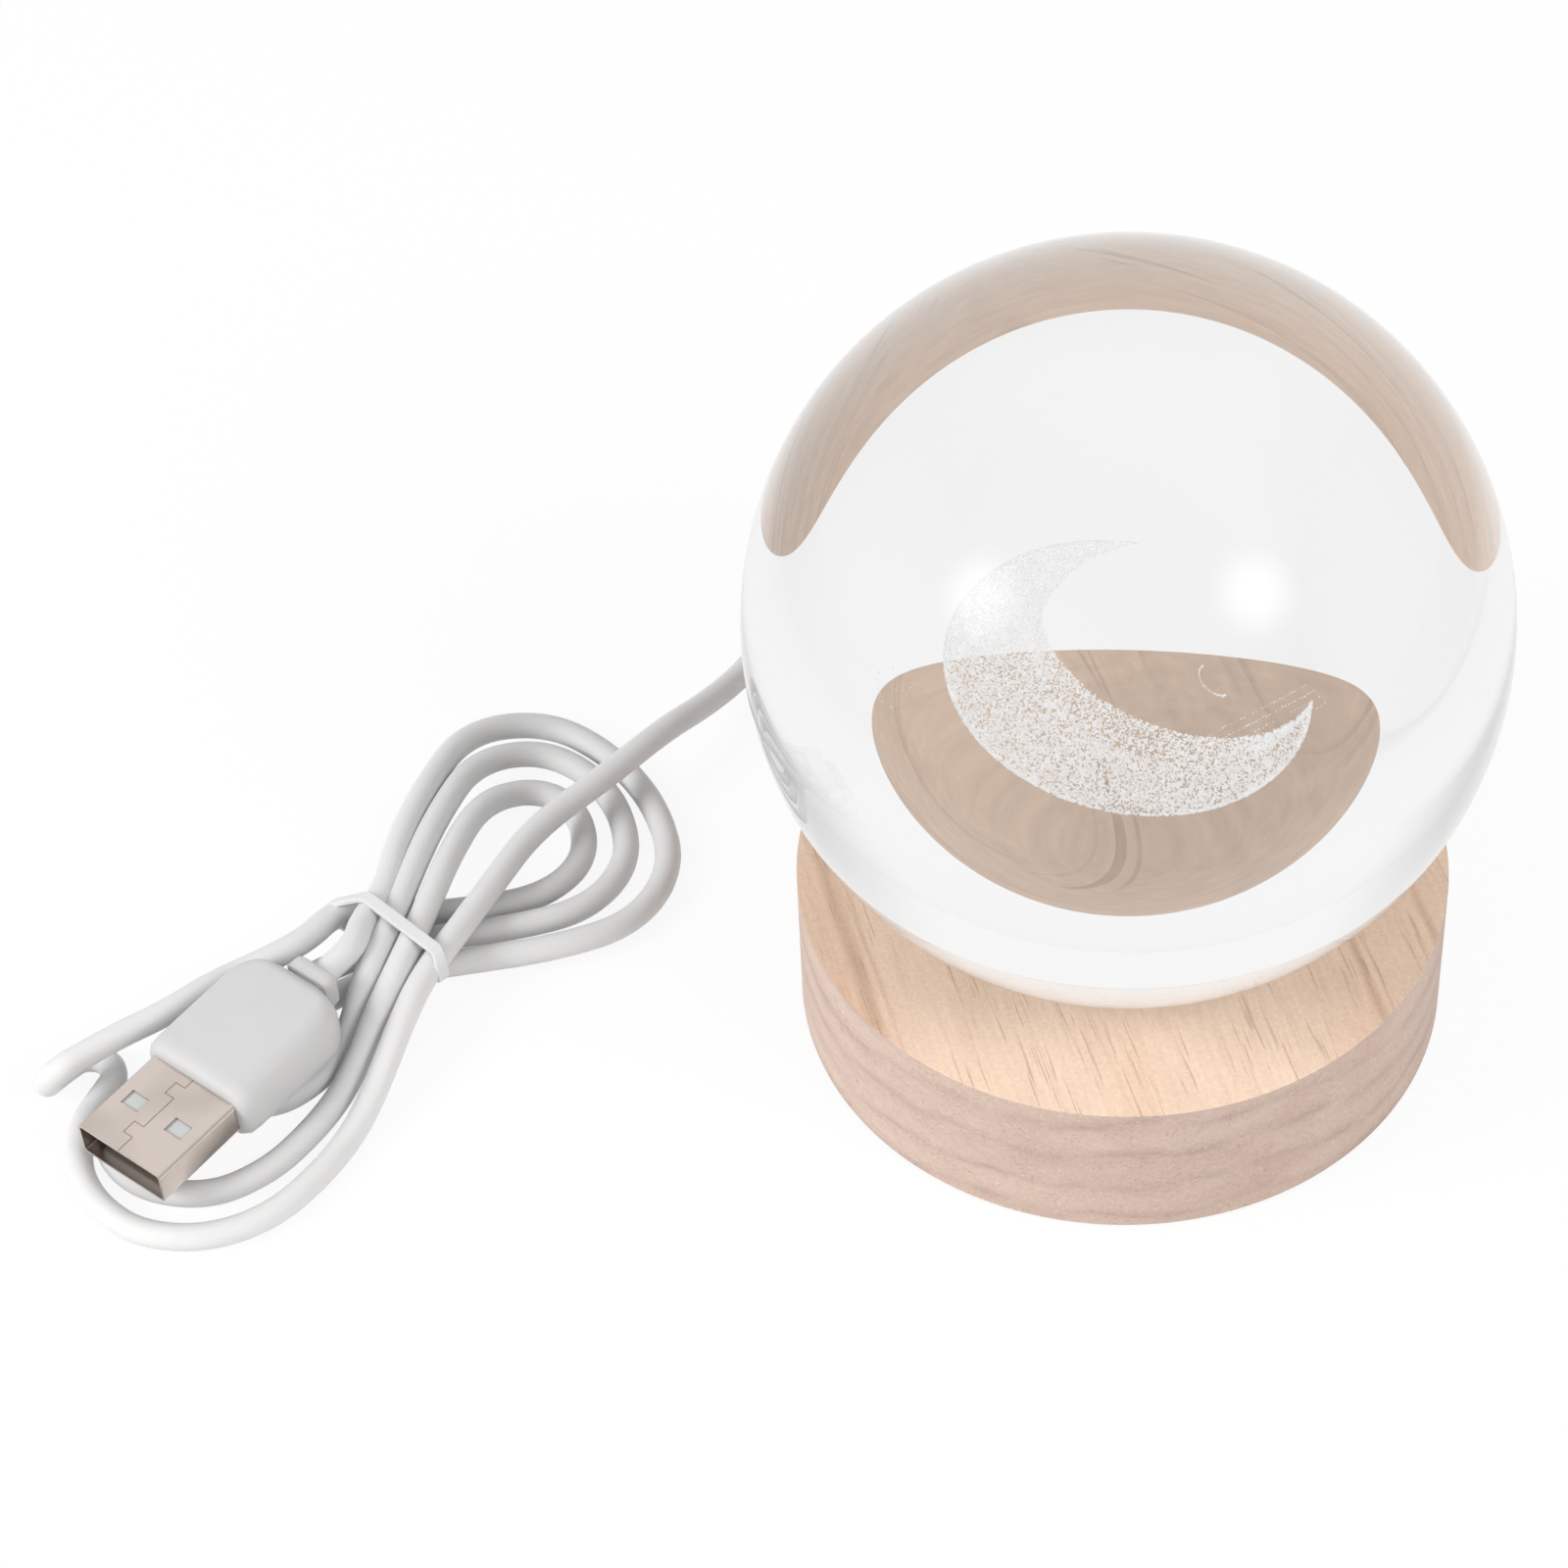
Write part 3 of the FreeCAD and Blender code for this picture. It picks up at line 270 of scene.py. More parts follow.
def metal(name, colour, roughness=0.28):
    """Plated metal with fine rolling marks, and broad lighter and darker patches in its colour
    that are a painted reflection band.
    """
    s = Shader(name, colour, roughness, Metallic=1.0)
    marks = s.noise(s.place((0.1, 4.0, 4.0)), 1.0, 3.0)
    # broad lighter and darker patches in the colour: painted reflection, not stains
    painted_reflection_band = s.noise(s.place(), 0.11, 1.0)
    tint = s.ramp(painted_reflection_band, (0.4, tuple(c * 0.84 for c in colour)), (0.6, colour))
    s.link(tint, "Base Color")
    s.link(s.ramp(marks, (0.3, roughness * 0.8), (0.7, roughness * 1.35)), "Roughness")
    s.bump(marks, 0.0015, 0.3)
    return s.material


# ---------------------------------------------------------------------------------------------
# Mesh helpers
# ---------------------------------------------------------------------------------------------
def new_piece(name, vertices, faces, material, smooth=True):
    mesh = bpy.data.meshes.new(name)
    mesh.from_pydata(vertices, [], faces)
    mesh.validate()
    if smooth:
        mesh.polygons.foreach_set("use_smooth", [True] * len(mesh.polygons))
    piece = bpy.data.objects.new(name, mesh)
    bpy.context.scene.collection.objects.link(piece)
    piece.data.materials.append(material)
    return piece


def lathe(name, profile, material, segments):
    """A closed outline of (radius, height) pairs in metres, turned about the vertical axis."""
    count = len(profile)
    vertices = []
    for k in range(segments):
        turn = 2 * pi * k / segments
        vertices += [(r * cos(turn), r * sin(turn), z) for r, z in profile]
    faces = []
    for k in range(segments):
        here = k * count
        there = ((k + 1) % segments) * count
        for i in range(count):
            j = (i + 1) % count
            faces.append((here + i, there + i, there + j, here + j))
    return new_piece(name, vertices, faces, material)


def bevel(piece, width, segments=3, angle=30):
    modifier = piece.modifiers.new("edges", "BEVEL")
    modifier.width = width
    modifier.segments = segments
    modifier.limit_method = "ANGLE"
    modifier.angle_limit = radians(angle)
    modifier.harden_normals = True


def finish_node(node, material):
    """A CAD node keeps its shape and gets a finished material."""
    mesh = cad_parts[node].data
    mesh.materials.clear()
    mesh.materials.append(material)


# ---------------------------------------------------------------------------------------------
# Glass ball and the crescent inside it
# ---------------------------------------------------------------------------------------------
low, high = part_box("crystal_ball")
BALL_CENTRE = (Vector(low) + Vector(high)) / 2
BALL_RADIUS = (high[2] - low[2]) / 2
MOON_TURN = radians(-10)
MOON_RIGHT = Vector((cos(MOON_TURN), sin(MOON_TURN), 0))
MOON_FRONT = Vector((sin(MOON_TURN), -cos(MOON_TURN), 0))
MOON_OUTER = (0.25, -4.15, 12.35)     # circle: across, up, radius
MOON_INNER = (3.72, -1.06, 9.80)
MOON_THICK = 4.5
MOON_BULGE = (MOON_OUTER[2] ** 2 + MOON_THICK ** 2 / 4) / MOON_THICK
MOON_SPAN = ((-14, 13), (-16, 9))      # across and up, where its dots are drawn
FRONT_SHARE = 0.55                     # of the dots, on the face towards the front
FACE_DOTS = 22000
OUTER_RIM_DOTS = 2200
INNER_RIM_DOTS = 3600
DOT_SIZE = 0.05                        # half the side of the cube round a grain
DOT_SPREAD = (0.6, 1.35)
SCRATCH_START = (5.6, -8.9)            # across and up, as all places in the moon's plane
SCRATCH_RUN = (7.0, 5.6)
SCRATCH_STEP = (0.35, -0.55)           # from one row of scratches to the next
SCRATCH_DEPTH = 0.6
CURL_START = (4.8, -2.6)
CURL_RUN = (1.9, -3.2)
CURL_RADII = (0.45, 0.5)
CURL_DEPTH = 0.8
CURL_DOTS = 46
LONE_SPAN = ((-16.2, -13.6), (-10.4, -7.2), (-0.6, 0.6))
LONE_DOTS = 16


def glass_ball(material):
    bm = bmesh.new()
    bmesh.ops.create_uvsphere(bm, u_segments=256, v_segments=128, radius=BALL_RADIUS)
    bmesh.ops.translate(bm, verts=bm.verts, vec=BALL_CENTRE)
    mesh = bpy.data.meshes.new("crystal_ball_glass")
    bm.to_mesh(mesh)
    bm.free()
    mesh.polygons.foreach_set("use_smooth", [True] * len(mesh.polygons))
    mesh.materials.append(material)
    ball = bpy.data.objects.new("crystal_ball_glass", mesh)
    bpy.context.scene.collection.objects.link(ball)
    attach(ball, "crystal_ball")
    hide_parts("crystal_ball")


def lens_half(x, y):
    """Half the crescent's thickness at a place in its plane."""
    rho = hypot(x - MOON_OUTER[0], y - MOON_OUTER[1])
    return sqrt(max(MOON_BULGE ** 2 - rho ** 2, 0)) - (MOON_BULGE - MOON_THICK / 2)


def in_moon(x, y):
    return (hypot(x - MOON_OUTER[0], y - MOON_OUTER[1]) < MOON_OUTER[2]
            and hypot(x - MOON_INNER[0], y - MOON_INNER[1]) > MOON_INNER[2])


def moon_dots(rng):
    """Places of the engraving's dots in the moon's own axes: across, up, towards the front."""
    dots = []
    while len(dots) < FACE_DOTS:
        x = rng.uniform(*MOON_SPAN[0])
        y = rng.uniform(*MOON_SPAN[1])
        if in_moon(x, y):
            side = 1 if rng.random() < FRONT_SHARE else -1
            dots.append((x, y, side * lens_half(x, y)))
    for circle, inward, count in ((MOON_OUTER, -1, OUTER_RIM_DOTS),
                                  (MOON_INNER, 1, INNER_RIM_DOTS)):
        across, up, radius = circle
        made = 0
        while made < count:
            turn = rng.uniform(0, 2 * pi)
            ring = radius + inward * abs(rng.gauss(0, 0.12))
            x = across + ring * cos(turn)
            y = up + ring * sin(turn)
            if in_moon(x, y):
                dots.append((x, y, rng.uniform(-1, 1) * lens_half(x, y)))
                made += 1
    return dots


def stray_dots(rng):
    """Fine dotted scratches between the horns, a curl of fracture and a few lone dots."""
    dots = []
    for row in range(4):
        count = 34 - 3 * row
        for i in range(count):
            share = i / (count - 1)
            if rng.random() < 0.8:
                x = SCRATCH_START[0] + SCRATCH_RUN[0] * share + row * SCRATCH_STEP[0]
                y = SCRATCH_START[1] + SCRATCH_RUN[1] * share + row * SCRATCH_STEP[1]
                dots.append((x, y + rng.gauss(0, 0.04), SCRATCH_DEPTH))
    for i in range(CURL_DOTS):
        share = i / (CURL_DOTS - 1)
        turn = share * 2.6 * pi
        x = CURL_START[0] + CURL_RUN[0] * share + CURL_RADII[0] * cos(turn)
        y = CURL_START[1] + CURL_RUN[1] * share + CURL_RADII[1] * sin(turn)
        dots.append((x, y, CURL_DEPTH))
    for _ in range(LONE_DOTS):
        dots.append(tuple(rng.uniform(*span) for span in LONE_SPAN))
    return dots


def engraved_crescent(material):
    rng = random.Random(7)
    corners = [Vector((1, 1, 1)), Vector((1, -1, -1)), Vector((-1, 1, -1)), Vector((-1, -1, 1))]
    sides = [(0, 1, 2), (0, 3, 1), (0, 2, 3), (1, 3, 2)]
    vertices = []
    faces = []
    for x, y, depth in moon_dots(rng) + stray_dots(rng):
        turn = Euler((rng.uniform(0, 6), rng.uniform(0, 6), rng.uniform(0, 6))).to_matrix()
        middle = BALL_CENTRE + (MOON_RIGHT * x + Vector((0, 0, y)) + MOON_FRONT * depth) * MM
        reach = DOT_SIZE * rng.uniform(*DOT_SPREAD) * MM
        base = len(vertices)
        vertices += [middle + turn @ corner * reach for corner in corners]
        faces += [tuple(base + i for i in side) for side in sides]
    dots = new_piece("crescent_dots", vertices, faces, material, smooth=False)
    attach(dots, "crystal_ball")
    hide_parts("crescent_engraving")


# ---------------------------------------------------------------------------------------------
# Wooden base
# ---------------------------------------------------------------------------------------------
CORD_HEIGHT = 6.0               # of the cord's middle where it leaves the wood
CORD_HOLE_RADIUS = 1.7
CORD_HOLE_ENDS = (17, 43)       # in the pocket and past the back
DISH_GAP = 0.2                  # between the ball and its dish
FIT_GAP = 0.2                   # round what is let into the base
LIGHT_HOLE_RADIUS = 9.0
POCKET_RADIUS = 20
DISH_STEPS = 10
BASE_SEGMENTS = 288
BASE_BEVEL = 0.3


def top_of(node):
    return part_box(node)[1][2]


def bottom_of(node):
    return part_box(node)[0][2]


def half_width(node):
    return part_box(node)[1][0]


def bore_cord_hole(base):
    """The hole through the back for the cord, cut into the mesh."""
    start, end = CORD_HOLE_ENDS
    bpy.ops.mesh.primitive_cylinder_add(
        vertices=48, radius=CORD_HOLE_RADIUS * MM, depth=(end - start) * MM,
        location=(0, (start + end) / 2 * MM, CORD_HEIGHT * MM), rotation=(pi / 2, 0, 0))
    drill = bpy.context.object
    hole = base.modifiers.new("cord_hole", "BOOLEAN")
    hole.object = drill
    hole.solver = "EXACT"
    shape = base.evaluated_get(bpy.context.evaluated_depsgraph_get())
    mesh = bpy.data.meshes.new_from_object(shape)
    base.modifiers.remove(hole)
    base.data = mesh
    bpy.data.objects.remove(drill)


def wooden_base(material):
    """The turned base: dish, light hole, counterbore for the frosted disc, and the pocket."""
    outer = half_width("wooden_base")
    top = top_of("wooden_base")
    bottom = bottom_of("wooden_base")
    dish_radius = BALL_RADIUS + DISH_GAP * MM
    light_hole = LIGHT_HOLE_RADIUS * MM
    mouth = sqrt(dish_radius ** 2 - (BALL_CENTRE.z - top) ** 2)
    dish = []
    for i in range(DISH_STEPS + 1):
        r = mouth + (light_hole - mouth) * i / DISH_STEPS
        dish.append((r, BALL_CENTRE.z - sqrt(dish_radius ** 2 - r ** 2)))
    ceiling = top_of("led_board")
    cover_top = top_of("bottom_cover")
    cover_bottom = bottom_of("bottom_cover")
    disc_top = top_of("light_diffuser")
    pocket = POCKET_RADIUS * MM
    gap = FIT_GAP * MM
    profile = [(outer, bottom), (outer, top)] + dish + [
        (light_hole, disc_top),
        (half_width("light_diffuser") + gap, disc_top),
        (half_width("light_diffuser") + gap, ceiling),
        (pocket, ceiling),
        (pocket, cover_top),
        (half_width("bottom_cover") + gap, cover_top),
        (half_width("bottom_cover") + gap, cover_bottom),
        (half_width("base_pad") + gap, cover_bottom),
        (half_width("base_pad") + gap, bottom),
    ]
    base = lathe("wooden_base_turned", profile, material, BASE_SEGMENTS)
    bore_cord_hole(base)
    bevel(base, BASE_BEVEL * MM)
    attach(base, "root")
    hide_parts("wooden_base")


# ---------------------------------------------------------------------------------------------
# Cord: the free run and the tied hank are one spline
# ---------------------------------------------------------------------------------------------
CORD_THICK = 3.0
WAIST = Vector((-80.9, 1.1, 0))
HANK_TURN = radians(46.5)
ALONG = Vector((cos(HANK_TURN), sin(HANK_TURN), 0))
ACROSS = Vector((-sin(HANK_TURN), cos(HANK_TURN), 0))
FLOOR = 1.5                     # the cord's middle on the table, and in the waist's two layers
LOWER = 2.5
UPPER = 6.0
TAIL_RISE = 6.4
UPPER_V = (-6.5, -3.3, 0.6, 3.9)
LOWER_V = (6.9, 2.1, -3.0)
# side, start, end, reach, two widest places and the lean of each lobe, as in the solids, apart
# from the end of the last lobe, which lies nearer to its neighbour here
LOBES = [
    (-1, UPPER_V[0], LOWER_V[0], 45.4, -17.2, 11.6, -0.04),
    (+1, LOWER_V[0], UPPER_V[1], 28.6, -5.3, 7.6, 0.13),
    (-1, UPPER_V[1], LOWER_V[1], 40.2, -12.4, 6.1, -0.04),
    (+1, LOWER_V[1], UPPER_V[2], 33.2, -10.1, 12.4, 0.16),
    (-1, UPPER_V[2], LOWER_V[2], 25.9, -6.8, 2.1, 0.0),
    (+1, LOWER_V[2], UPPER_V[3], 36.8, -15.2, 16.2, 0.16),
]
NEAR_KNOTS = (8, 16, 28, 52, 90, 128, 164)
FAR_KNOTS = (16, 52, 90, 128, 164)
TIP_FROM = 52
TIP = [                         # the first lobe's tip: place and direction, in hank axes
    ((-44.9, -5.8, FLOOR), (-0.12, 1, 0)),
    ((-42.9, 2.8, FLOOR), (0.55, 0.83, 0)),
    ((-36.97, 7.66, FLOOR), (0.94, 0.342, 0)),
    ((-33.68, 8.86, FLOOR), (0.94, 0.342, 0)),
    ((-31.94, 11.87, FLOOR), (-0.174, 0.985, 0)),
    ((-34.6, 14.1, 1.55), (-1, -0.02, 0.02)),
    ((-36.6, 14.0, 1.65), (-1, -0.1, 0.03)),
    ((-39.1, 12.3, 4.1), (0, -0.5, 1)),
    ((-36.6, 10.7, 6.6), (1, -0.12, 0)),
    ((-33.6, 10.3, 6.6), (1, -0.14, 0)),
    ((-22.0, 8.7, 6.1), (1, -0.06, -0.02)),
    ((-9.5, 6.4, 5.9), (1, -0.12, -0.06)),
    ((0, LOWER_V[0], 4.1), (0.97, -0.3, -0.22)),
]
# degrees round a lobe: where it is down or starts to rise, and over how many it does so
NEAR_DROP = (26, 20)
SHORT_DROP = (32, 22)
SHORT_REACH = 30
NEAR_RISE = (140, 30)
FAR_DROP = (76, 60)
FAR_RISE = (104, 60)
TAIL_PLACE = (0.6, UPPER_V[3], TAIL_RISE)
TAIL_DIRECTION = (-0.93, -0.36, 0.10)
CORD_TUCK = 0.3                 # how far the cord goes into the plug's relief
RUN_LEAD = 9.0                  # from the run's last corner to its end
PLUG_MOUTH = Vector((-106.7, -32.3, 7.0))
PLUG_TURN = Matrix.Rotation(radians(53.2), 3, "Z") @ Matrix.Rotation(radians(-1.5), 3, "Y")
PLUG_LENGTH = 31.5


def hank_point(u, v, z):
    return WAIST + ALONG * u + ACROSS * v + Vector((0, 0, z))


def hank_direction(u, v, z=0.0):
    return (ALONG * u + ACROSS * v + Vector((0, 0, z))).normalized()


def plug_point(x, y=0.0, z=0.0):
    return PLUG_MOUTH + PLUG_TURN @ Vector((x, y, z))


def ease(share):
    share = min(max(share, 0.0), 1.0)
    return share * share * (3 - 2 * share)


def lobe_point(lobe, turn):
    side, first, last, reach, wide_first, wide_last, lean = lobe
    angle = radians(turn)
    if turn < 90:
        swing = wide_first - (first + (last - first) / 4)
    else:
        swing = -(wide_last - (last - (last - first) / 4))
    u = side * reach * sin(angle) * (1 - lean * cos(angle))
    v = first + (last - first) * turn / 180 + swing * sin(2 * angle)
    if side < 0:
        down, span = SHORT_DROP if reach < SHORT_REACH else NEAR_DROP
        drop = ease((down - turn) / span)
        rise = ease((turn - NEAR_RISE[0]) / NEAR_RISE[1])
        z = FLOOR + (UPPER - FLOOR) * drop + (LOWER - FLOOR) * rise
    else:
        drop = ease((FAR_DROP[0] - turn) / FAR_DROP[1])
        rise = ease((turn - FAR_RISE[0]) / FAR_RISE[1])
        z = FLOOR + (LOWER - FLOOR) * drop + (UPPER - FLOOR) * rise
    return hank_point(u, v, z)


def lobe_knot(lobe, turn):
    ahead = lobe_point(lobe, turn + 0.5) - lobe_point(lobe, turn - 0.5)
    return lobe_point(lobe, turn), ahead.normalized()


RUN_END = hank_point(12.6, -2.9, UPPER)
RUN_END_DIRECTION = hank_direction(-0.955, -0.30)
RUN_CORNERS = [
    (0, 35.5, CORD_HEIGHT),
    (0, 43, CORD_HEIGHT),
    (-2.2, 53, 2.1),
    (-7.4, 61.4, FLOOR),
    (-15.8, 67.4, FLOOR),
    (-25.4, 67.8, FLOOR),
    (-33.4, 63.2, FLOOR),
    (-38.8, 54.8, FLOOR),
    (-43.2, 45.4, 1.6),
    (-47.4, 37.6, 4.2),
    (-52.2, 30.6, 7.0),
    (-58.4, 23.4, 7.0),
]


def hank_knots():
    """Places and directions along the hank, from the run's end to the plug."""
    plug_axis = PLUG_TURN @ Vector((1, 0, 0))
    relief_end = plug_point(PLUG_LENGTH)
    knots = [(RUN_END, RUN_END_DIRECTION),
             (RUN_END + RUN_END_DIRECTION * CORD_THICK, RUN_END_DIRECTION)]
    knots += [lobe_knot(LOBES[0], turn) for turn in NEAR_KNOTS if turn <= TIP_FROM]
    knots += [(hank_point(*place), hank_direction(*ahead)) for place, ahead in TIP]
    for lobe in LOBES[1:]:
        for turn in NEAR_KNOTS if lobe[0] < 0 else FAR_KNOTS:
            knots.append(lobe_knot(lobe, turn))
    knots.append((hank_point(*TAIL_PLACE), hank_direction(*TAIL_DIRECTION)))
    knots.append((relief_end + plug_axis * CORD_THICK, -plug_axis))
    knots.append((relief_end - plug_axis * CORD_TUCK, -plug_axis))
    return knots


def cord_route():
    """Control points of the cord in millimetres, from the wood to the plug. Between two knots
    they are the corners of the two arcs that leave and arrive in the knots' directions."""
    points = [Vector(corner) for corner in RUN_CORNERS]
    points.append(RUN_END - RUN_END_DIRECTION * RUN_LEAD)
    knots = hank_knots()
    for (start, leaving), (end, arriving) in zip(knots, knots[1:]):
        chord = end - start
        lean = chord.dot(leaving + arriving)
        spread = 1 - leaving.dot(arriving)
        if spread < 1e-6:
            reach = chord.dot(chord) / (4 * chord.dot(leaving))
        else:
            reach = (sqrt(lean ** 2 + 2 * spread * chord.dot(chord)) - lean) / (2 * spread)
        points += [start + leaving * reach, end - arriving * reach]
    points.append(knots[-1][0])
    return points


def spline_object(name, points, thick, material):
    curve = bpy.data.curves.new(name, "CURVE")
    curve.dimensions = "3D"
    curve.resolution_u = 10
    curve.bevel_depth = thick / 2 * MM
    curve.bevel_resolution = 6
    curve.use_fill_caps = True
    spline = curve.splines.new("NURBS")
    spline.points.add(len(points) - 1)
    for control, point in zip(spline.points, points):
        control.co = (*(Vector(point) * MM), 1.0)
    spline.order_u = 3
    spline.use_endpoint_u = True
    spline.use_smooth = True
    curve.materials.append(material)
    piece = bpy.data.objects.new(name, curve)
    bpy.context.scene.collection.objects.link(piece)
    return piece


def power_cord(material):
    cord = spline_object("power_cord", cord_route(), CORD_THICK, material)
    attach(cord, "root")
    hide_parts("cord_run", "cord_hank")


# ---------------------------------------------------------------------------------------------
# Tie and the plug's soft parts
# ---------------------------------------------------------------------------------------------
TIE_WIDTH = 1.5
TIE_THICK = 0.6
TIE_GAP = 0.1
TIE_BEVEL = 0.15
TIE_STEPS = 120
TIE_CREST = (1.2, -3.1)         # along and across: where it lies furthest towards the loops
TIE_LEANS = (0.022, 0.05)       # how it falls back from there, on the plus and minus side
# the middles of the strands at the waist: across and height
WAIST_STRANDS = ((-7.0, 6.3), (-3.4, 6.0), (0.6, 6.0), (3.8, 6.4), (6.9, 4.1), (2.1, 2.5),
                 (-3.0, 2.5))


def tie_middle(turn):
    """A place of the tie's middle line: round the strands at the waist, leaning as it is drawn."""
    out = (cos(turn), sin(turn))
    v, z = max(WAIST_STRANDS, key=lambda strand: strand[0] * out[0] + strand[1] * out[1])
    reach = CORD_THICK / 2 + TIE_GAP + TIE_THICK / 2
    v += out[0] * reach
    z += out[1] * reach
    off = v - TIE_CREST[1]
    lean = TIE_LEANS[0] if off > 0 else TIE_LEANS[1]
    return TIE_CREST[0] - lean * off ** 2, v, z, out


def cable_tie(material):
    """A thin flat strap drawn round the hank's waist."""
    vertices = []
    for i in range(TIE_STEPS):
        u, v, z, out = tie_middle(2 * pi * i / TIE_STEPS)
        for along, lift in ((-1, -1), (1, -1), (1, 1), (-1, 1)):
            place = hank_point(u + along * TIE_WIDTH / 2, v + out[0] * lift * TIE_THICK / 2,
                               z + out[1] * lift * TIE_THICK / 2)
            vertices.append(place * MM)
    faces = []
    for i in range(TIE_STEPS):
        here = 4 * i
        there = 4 * ((i + 1) % TIE_STEPS)
        for k in range(4):
            j = (k + 1) % 4
            faces.append((here + k, here + j, there + j, there + k))
    tie = new_piece("tie_strap", vertices, faces, material)
    bevel(tie, TIE_BEVEL * MM, 2, 40)
    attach(tie, "root")
    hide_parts("cable_tie")


def plug_loft(name, node, stations, material):
    """A rounded block along the plug. Stations: place along it, half width, half height and
    corner radius."""
    ring = 10
    vertices = []
    for x, half_wide, half_high, corner in stations:
        corner = min(corner, half_wide, half_high)
        for quarter in range(4):
            side = 1 if quarter in (0, 3) else -1
            over = 1 if quarter < 2 else -1
            for i in range(ring):
                turn = pi / 2 * (quarter + i / (ring - 1))
                y = side * (half_wide - corner) + corner * cos(turn)
                z = over * (half_high - corner) + corner * sin(turn)
                vertices.append(plug_point(x, y, z) * MM)
    count = 4 * ring
    faces = [tuple(range(count))[::-1]]
    for k in range(len(stations) - 1):
        for i in range(count):
            j = (i + 1) % count
            faces.append((k * count + i, k * count + j, (k + 1) * count + j, (k + 1) * count + i))
    last = (len(stations) - 1) * count
    faces.append(tuple(last + i for i in range(count)))
    piece = new_piece(name, vertices, faces, material)
    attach(piece, "root")
    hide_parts(node)


GRIP_START = 11.7
GRIP_STRAIGHT = 22.5            # the sides stay straight up to here
GRIP_END = 29.0
GRIP_HALF = (7.5, 3.8)          # half its width and half its height
GRIP_CORNER = 2.7
GRIP_END_RADII = (4.4, 1.6)     # of the rear end, seen from above and from the side
GRIP_STEPS = 13
GRIP_FRONT = [                  # its front edge is rounded
    (GRIP_START, 6.3, 2.9, 2.0),
    (GRIP_START + 0.25, 6.9, 3.4, 2.4),
    (GRIP_START + 0.9, 7.35, 3.75, 2.6),
    (GRIP_START + 2.0, *GRIP_HALF, GRIP_CORNER),
]
GRIP_BACK = (GRIP_END, 2.9, 2.0, 1.6)
RELIEF_STATIONS = [
    (28.6, 2.0, 1.7, 0.8),
    (29.35, 2.0, 1.7, 0.8),
    (29.4, 2.7, 2.2, 0.8),
    (29.55, 2.9, 2.4, 0.8),
    (31.15, 2.8, 2.3, 0.8),
    (31.4, 2.6, 2.1, 0.8),
    (PLUG_LENGTH, 2.3, 1.8, 0.7),
]


def plug_overmould(material):
    wide, high = GRIP_END_RADII
    stations = GRIP_FRONT + [(GRIP_STRAIGHT, *GRIP_HALF, GRIP_CORNER)]
    for i in range(1, GRIP_STEPS):
        turn = i / GRIP_STEPS * pi / 2
        x = GRIP_END - wide + wide * sin(turn)
        lift = max(0.0, (x - (GRIP_END - high)) / high) * pi / 2
        stations.append((x, GRIP_HALF[0] - wide * (1 - cos(turn)),
                         GRIP_HALF[1] - high * (1 - cos(lift)), GRIP_CORNER))
    stations.append(GRIP_BACK)
    plug_loft("plug_grip", "plug_overmould", stations, material)


def plug_relief(material):
    plug_loft("plug_relief_block", "plug_strain_relief", RELIEF_STATIONS, material)


# ---------------------------------------------------------------------------------------------
# Studio
# ---------------------------------------------------------------------------------------------
WORLD_FILL = 0.62               # the even light that the world gives to matt surfaces
SKY_FADE = (0.15, 0.8, 0.95)    # upwards: start, end and least brightness
SIDE_FADE = (0.4, 1.0, 0.45)    # to the left and right, as a share of the distance
NEAR_FADE = (0.12, 0.35, 0.25)  # on the floor, by distance in metres
FLOOR_GLOW = 0.9                # share of its own white that the floor shows
FLOOR_SIZE = 4.0
FLOOR_DROP = 0.00005            # how far it lies under the object, in metres


def join(tree, kind, first, second):
    node = tree.nodes.new("ShaderNodeMath")
    node.operation = kind
    for socket, value in zip(node.inputs, (first, second)):
        if isinstance(value, float):
            socket.default_value = value
        else:
            tree.links.new(value, socket)
    return node.outputs[0]


def seen_rays(tree):
    """1 for camera, glossy and transmission rays."""
    path = tree.nodes.new("ShaderNodeLightPath").outputs
    direct = join(tree, "MAXIMUM", path["Is Camera Ray"], path["Is Glossy Ray"])
    return join(tree, "MAXIMUM", direct, path["Is Transmission Ray"])


def fade(tree, value, start, end, least):
    """1 up to a start on both sides of zero, falling to the least value at the end."""
    size = join(tree, "ABSOLUTE", value, 0.0)
    node = tree.nodes.new("ShaderNodeMapRange")
    node.interpolation_type = "SMOOTHSTEP"
    node.inputs["From Min"].default_value = start
    node.inputs["From Max"].default_value = end
    node.inputs["To Min"].default_value = 1.0
    node.inputs["To Max"].default_value = least
    tree.links.new(size, node.inputs["Value"])
    return node.outputs["Result"]


def white_world():
    world = bpy.data.worlds.new("studio")
    bpy.context.scene.world = world
    world.use_nodes = True
    tree = world.node_tree
    background = tree.nodes["Background"]
    background.inputs["Color"].default_value = (1.0, 1.0, 1.0, 1.0)
    coords = tree.nodes.new("ShaderNodeTexCoord")
    split = tree.nodes.new("ShaderNodeSeparateXYZ")
    tree.links.new(coords.outputs["Generated"], split.inputs[0])
    sides = fade(tree, split.outputs["X"], *SIDE_FADE)
    above = fade(tree, split.outputs["Z"], *SKY_FADE)
    studio_white = join(tree, "MULTIPLY", sides, above)
    camera = tree.nodes.new("ShaderNodeLightPath").outputs["Is Camera Ray"]
    shown = join(tree, "MAXIMUM", camera, studio_white)
    shown = join(tree, "MULTIPLY", shown, seen_rays(tree))
    strength = join(tree, "MAXIMUM", shown, WORLD_FILL)
    tree.links.new(strength, background.inputs["Strength"])


